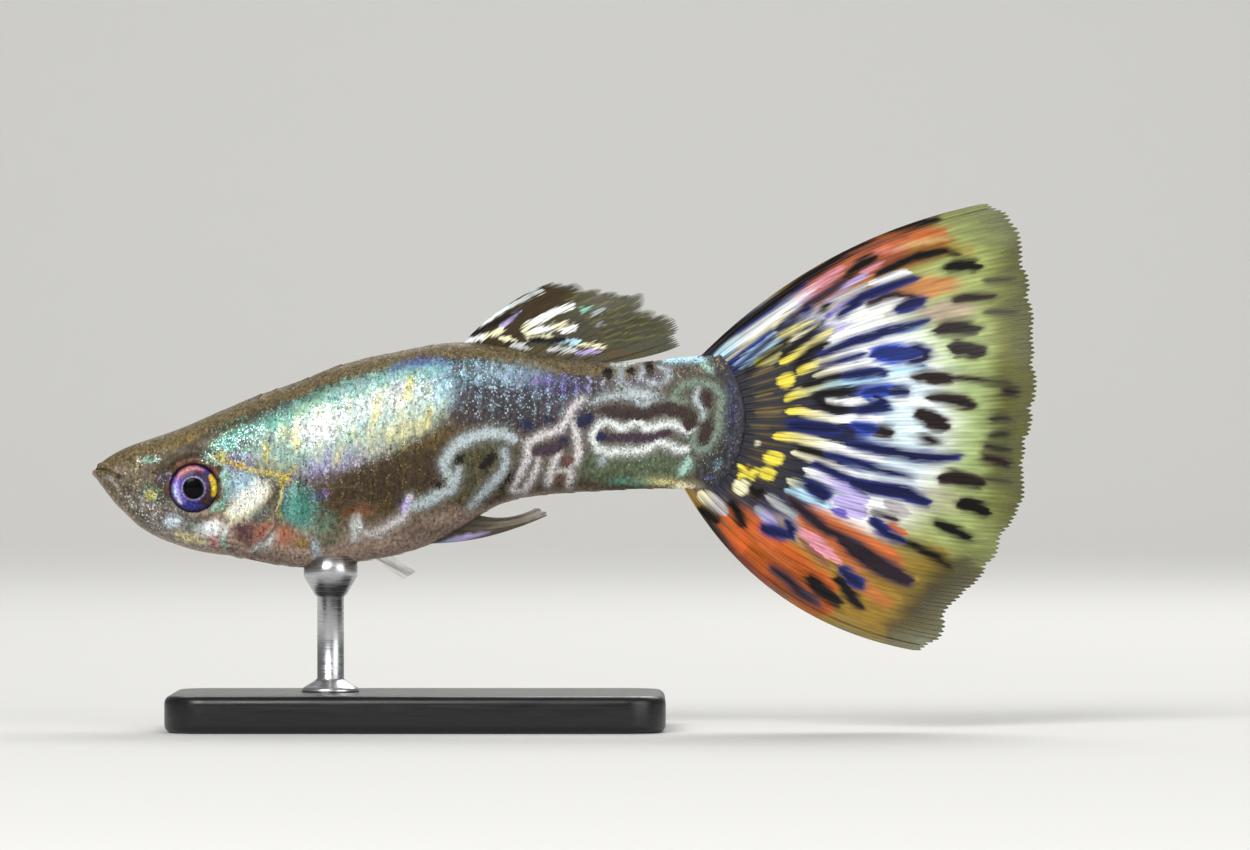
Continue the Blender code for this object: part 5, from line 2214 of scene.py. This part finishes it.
@dataclass
class TailFin(FlatFin):
    """The great tail fin, a fan of rays from the round end of the stalk.

    Attributes:
        centre, radius: Arc that it grows from.
        high, low: Angles at which the arc starts and ends, in degrees above the level.
    """

    centre: Pair = (26.8, 7.2)
    radius: float = 3.7
    high: float = 51.0
    low: float = -63.0

    def root(self, t: Array) -> Array:
        """Points of the arc where the stalk ends."""
        angle = np.radians(self.high + (self.low - self.high) * t)
        return np.array(self.centre) + np.stack([np.cos(angle), np.sin(angle)], axis=-1) * self.radius

    def clearness(self, t: Array, r: Array, rows: Array) -> Array:
        """A little clear at its fringe, wider below than above, and closed by pigment elsewhere.

        Args:
            t: Places across the rays; not used.
            r: Places along them.
            rows: Station, side and height.

        Returns:
            The share of light that passes.
        """
        spots = wandered(to_picture(rows), 14.0, 8.0)
        fringe = 0.08 * ease((r - 0.86) / 0.14)
        low = Stroke(Ink.SMOKE, 60, ((740, 590), (800, 642), (880, 668), (950, 650), (1000, 590)), 0.2, 14)
        high = Patch(Ink.SMOKE, (985, 215), (60, 26), 10, 1.0, 0.6)
        return np.clip(fringe + 0.08 * low.cover(spots) + 0.08 * high.cover(spots), 0.0, 0.2)


@dataclass
class DorsalFin(FlatFin):
    """The fin on the back, whose rear rays lie low over the tail stalk.

    Attributes:
        first, last: Stations of its first and its last ray.
    """

    first: float = 17.75
    last: float = 24.5

    def root(self, t: Array) -> Array:
        """Points of the back that it grows from."""
        station = self.first + (self.last - self.first) * t
        return np.stack([station, FORM.back.at(station) - 0.15], axis=-1)

    def clearness(self, t: Array, r: Array, rows: Array) -> Array:
        """Dark in front and clear behind."""
        return np.clip(0.05 * ease((t - 0.25) / 0.35) + 0.15 * ease((r - 0.85) / 0.15), 0.0, 0.7)


@dataclass
class BellyProng(FlatFin):
    """The narrow fin under the belly that points back.

    Attributes:
        first, last: Stations of its first and its last ray.
    """

    first: float = 16.0
    last: float = 18.5

    def root(self, t: Array) -> Array:
        """Points of the belly that it grows from."""
        station = self.first + (self.last - self.first) * t
        return np.stack([station, FORM.belly.at(station) + 0.15], axis=-1)


@dataclass
class PectoralFin(RayFin):
    """A rounded clear fan behind a gill cover, held out from the flank.

    Attributes:
        way: -1 for the left fin and 1 for the right one.
        top, bottom: Station and height at which its first and its last ray start.
        length: Length of its longest ray.
        high, low: Angles of its first and its last ray, in degrees above the level.
        spread: How far it is turned out from the flank, in degrees.
    """

    way: int = -1
    top: Pair = (9.85, 4.0)
    bottom: Pair = (10.1, 2.5)
    length: float = 4.6
    high: float = 16.0
    low: float = -44.0
    spread: float = 24.0

    def place(self, t: Array, r: Array) -> Array:
        """Places of the fin's points.

        Args:
            t: Places across the rays.
            r: Places along them.

        Returns:
            Station, side and height of each.
        """
        out = radians(self.spread)
        station = self.top[0] + (self.bottom[0] - self.top[0]) * t
        height = self.top[1] + (self.bottom[1] - self.top[1]) * t
        lift = np.radians(self.high + (self.low - self.high) * t)
        length = self.length * (0.72 + 0.28 * np.sin(pi * clamp(t))) * r
        side = FORM.flank(station, height) - 0.1 + 0.65 * ease(r / 0.16)
        across = side + length * np.cos(lift) * sin(out)
        return np.stack([
            station + length * np.cos(lift) * cos(out), self.way * across, height + length * np.sin(lift)
        ], axis=-1)


@dataclass
class PelvicFin(RayFin):
    """A small pointed clear fin on one side of the belly.

    Attributes:
        way: -1 for the left fin and 1 for the right one.
        first, last: Stations of its first and its last ray.
        side: How far from the middle plane it grows.
        tips: Station, side and height of the tips of those two rays.
    """

    way: int = -1
    first: float = 13.15
    last: float = 14.05
    side: float = 0.75
    tips: Marks = ((15.0, 1.15, -0.55), (15.6, 1.05, -0.15))

    def place(self, t: Array, r: Array) -> Array:
        """Places of the fin's points.

        Args:
            t: Places across the rays.
            r: Places along them.

        Returns:
            Station, side and height of each.
        """
        station = self.first + (self.last - self.first) * t
        side = np.full_like(station, self.side)
        start = np.stack([station, side, FORM.underside(station, side) + 0.12], axis=-1)
        tips = np.array(self.tips)
        end = tips[0] + (tips[1] - tips[0]) * t[..., None]
        return (start + (end - start) * r[..., None]) * np.array((1.0, self.way, 1.0))


@dataclass
class Stand:
    """Plain display stand: a flat base and one short rod whose top is a pad shaped to the belly.

    Attributes:
        length, width, thickness: Size of the base.
        corner, edge: Radii of its corners and of its edges.
        station, rod_station: Stations of the base's middle and of the rod.
        outline: Radius and height at each step of the rod, from its foot up to the pad's rim.
        sink: How far the pad may stand into the belly line.
    """

    length: float = 24.0
    width: float = 13.0
    thickness: float = 1.8
    corner: float = 2.0
    edge: float = 0.4
    station: float = 15.6
    rod_station: float = 11.4
    outline: Marks = (
        (0, 1.75), (1.4, 1.75), (1.4, 1.95), (1.28, 2.05), (0.77, 2.35), (0.65, 2.47), (0.65, 6.4),
        (0.77, 6.52), (1.3, 7.4), (1.3, 8.4),
    )
    sink: float = 0.08

    def build_base(self) -> None:
        """Makes the base, a plate with rounded corners and edges."""
        turns = np.linspace(0, pi / 2, 7)
        under = [(self.edge * (1 - sin(a)), self.edge * (1 - cos(a))) for a in turns]
        profile = under + [(inset, self.thickness - height) for inset, height in reversed(under)]
        long, wide = self.length / 2 - self.corner, self.width / 2 - self.corner
        points = np.array([
            (x + (self.corner - inset) * cos(a), y + (self.corner - inset) * sin(a), height)
            for inset, height in profile
            for k, (x, y) in enumerate(((long, wide), (-long, wide), (-long, -wide), (long, -wide)))
            for a in np.linspace(k * pi / 2, (k + 1) * pi / 2, 15)
        ]) + (self.station - TOTAL_LENGTH / 2, 0, 0)
        count = len(points) // len(profile)
        faces = grid_faces(len(profile), count, around=True)
        faces += [list(range(count)), list(range(len(points) - count, len(points)))]
        finish = BLACK_ACRYLIC.make("satin black acrylic")
        piece = new_piece("display_base", new_mesh("base", points * MM, faces), finish)
        for face in piece.data.polygons[-2:]:
            face.use_smooth = False
        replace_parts(piece, "stand_base")

    def build_rod(self) -> None:
        """Makes the turned rod, whose top follows the belly."""
        radius, top = self.outline[-1]
        outline = self.outline + tuple((radius * share, top) for share in np.linspace(0.95, 0, 14))
        turns = np.linspace(0, 2 * pi, 64, endpoint=False)
        rings = np.array([
            [(wide * cos(a), wide * sin(a), height) for a in turns] for wide, height in outline
        ])
        limit = FORM.underside(rings[..., 0] + self.rod_station, rings[..., 1]) + BELLY_HEIGHT + self.sink
        rings[..., 2] = np.minimum(rings[..., 2], limit)
        rings[..., 0] += self.rod_station - TOTAL_LENGTH / 2
        faces = grid_faces(len(outline), len(turns), around=True)
        mesh = new_mesh("rod", rings.reshape(-1, 3) * MM, faces, weld=True)
        piece = new_piece("display_rod", mesh, BRUSHED_STEEL.make("brushed stainless steel"))
        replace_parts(piece, "stand_rod")


@dataclass
class Studio:
    """Pale paper sweep, soft lights and the camera of the side view.

    Attributes:
        reach: How far the flat of the floor goes behind and before the fish.
        bend: Radius with which it curves up into the wall.
        distance: How far the camera stands from the fish.
        sensor: Width of the camera's sensor in millimetres.
        lamps: Name, place, aim, side length and power of each square soft light, in metres and watts.
        room, room_power: Colour and strength of the light that comes from everywhere.
    """

    reach: float = 0.64
    bend: float = 0.2
    distance: float = 0.4
    sensor: float = 36.0
    lamps: Marks = (
        ("key light", (-0.15, -0.36, 0.27), (0, 0, 0.014), 0.22, 1.85),
        ("fill light", (0.3, -0.28, 0.16), (0, 0, 0.014), 0.3, 0.75),
        ("rim light", (0.1, 0.22, 0.3), (0, 0, 0.014), 0.25, 0.8),
        ("wall light", (0, 0.62, 0.55), (0, 0.7, 0), 0.5, 2.2),
    )
    room: str = "#e6e8ea"
    room_power: float = 0.24

    def build_sweep(self) -> None:
        """Makes the floor and the wall that it curves up into."""
        turns = np.linspace(0.1, pi / 2, 16)
        depths = [(-self.reach, 0), (self.reach, 0)]
        depths += [(self.reach + self.bend * sin(a), self.bend * (1 - cos(a))) for a in turns]
        depths += [(self.reach + self.bend, 2 * self.reach)]
        points = [(x, y, z) for y, z in depths for x in (-2 * self.reach, 2 * self.reach)]
        faces = [(2 * k, 2 * k + 1, 2 * k + 3, 2 * k + 2) for k in range(len(depths) - 1)]
        mesh = new_mesh("paper sweep", np.array(points), faces, closed=False)
        mesh.materials.append(StudioPaper().make("matt paper"))
        new_object("paper_sweep", mesh)

    def build_lamps(self) -> None:
        """Makes the lights."""
        for name, spot, aim, side, power in self.lamps:
            data = bpy.data.lights.new(name, "AREA")
            data.shape, data.size, data.energy = "SQUARE", side, power
            lamp = new_object(name, data)
            lamp.location = spot
            lamp.rotation_euler = (Vector(aim) - Vector(spot)).to_track_quat("-Z", "Y").to_euler()
        world = bpy.data.worlds.new("pale room")
        world.use_nodes = True
        tree = world.node_tree
        feed_node(tree, tree.nodes["Background"], ((*linear(self.room), 1.0), self.room_power))
        bpy.context.scene.world = world

    def build_camera(self) -> None:
        """Makes the camera, whose frame at the fish is the whole side view."""
        data = bpy.data.cameras.new("side view")
        middle = (np.array(PICTURE_SIZE) / 2 - PICTURE_ORIGIN) * PICTURE_POINT
        data.sensor_width = self.sensor
        data.lens = self.sensor * self.distance / (PICTURE_SIZE[0] * PICTURE_POINT * MM)
        data.clip_start = 0.01
        camera = new_object("side view", data)
        target = row(np.array((middle[0], 0, -middle[1])))
        camera.location = (target[0], -self.distance, target[2])
        camera.rotation_euler = (pi / 2, 0, 0)
        bpy.context.scene.camera = camera
        bpy.context.scene.view_settings.view_transform = "Standard"


def fins() -> tuple[RayFin, ...]:
    """Lists the fish's fins.

    Returns:
        The fins in the order of building.
    """
    clear_fin = {
        "slot": "clear_membrane", "ink": Ink.ASH, "clear": (0.98, 0.985, 0.99), "girth": 0.02,
        "ray_veil": 0.96,
    }
    sides = (("left", -1), ("right", 1))
    return (
        TailFin(
            "tail_fin", "caudal_fin", "tail_membrane", rays=26, forks=(0.3, 0.55), columns=380, rows=112,
            girth=0.085, ink=Ink.MUSTARD, fields=TAIL_FIELDS, layers=(TAIL_LIGHTS, TAIL_DARKS),
            edge=(
                (43.2, 17.66), (44.3, 17.1), (44.8, 16.1), (45.1, 14.4), (45.4, 12.0), (45.5, 9.1),
                (45.3, 7.2), (44.9, 5.2), (44.9, 3.0), (44.0, 1.6), (43.6, 0.6), (42.8, -0.5), (42.0, -1.3),
                (41.3, -2.1), (40.9, -3.3), (39.9, -4.0),
            ),
            bow_first=1.25, bow_last=-1.65, ripple=0.75, ripples=1.6, phase=0.6, frill=0.02, root_lines=0.26,
        ),
        DorsalFin(
            "back_fin", "dorsal_fin", "dorsal_membrane", rays=9, forks=(0.28, 0.5, 0.72), columns=240,
            rows=90, girth=0.06, streak=0.04, calm=0.9, ink=Ink.SMOKE, fields=DORSAL_FIELDS,
            layers=(DORSAL_LIGHTS, DORSAL_DARKS),
            edge=(
                (22.3, 13.9), (23.3, 13.8), (24.2, 13.55), (25.0, 13.4), (25.9, 13.3), (26.5, 13.35),
                (26.7, 12.6), (27.4, 12.35), (28.0, 12.1), (28.3, 11.4), (28.35, 10.75),
            ),
            bow_first=0.35, bow_last=-0.15, ripple=0.35, frill=0.11,
        ),
        BellyProng(
            "belly_prong", "gonopodium", "dorsal_membrane", rays=5, forks=(), columns=40, rows=80,
            girth=0.09, ink=Ink.EARTH, fields=PRONG_FIELDS, clear=(0.0, 0.2, 0.4),
            edge=((21.2, 2.35), (21.95, 2.62), (21.4, 2.95)), bow_first=-0.3, bow_last=-0.3, half_skin=0.08,
        ),
        *(
            PectoralFin(
                side + "_breast_fin", "pectoral_fin_" + side, rays=9, forks=(0.5,), way=way, **clear_fin
            )
            for side, way in sides
        ),
        *(
            PelvicFin(side + "_belly_fin", "pelvic_fin_" + side, rays=6, forks=(), way=way, **clear_fin)
            for side, way in sides
        ),
    )


def main() -> None:
    """Builds the studio, the fish and its stand."""
    logging.basicConfig(level=logging.INFO, format="%(message)s")
    studio = Studio()
    studio.build_sweep()
    studio.build_camera()
    studio.build_lamps()
    livery = Livery()
    wet = WetSkin().make("wet iridescent skin")
    form = Skin()
    body = form.build(livery, wet)
    ScaleCoat().build(form, body, livery, wet)
    glass = EyeGlass().make("cornea and iris")
    for way, node in ((-1, "eye_left"), (1, "eye_right")):
        Eye(way, node).build(glass)
    for fin in fins():
        fin.build()
    stand = Stand()
    stand.build_base()
    stand.build_rod()


if __name__ == "__main__":
    main()
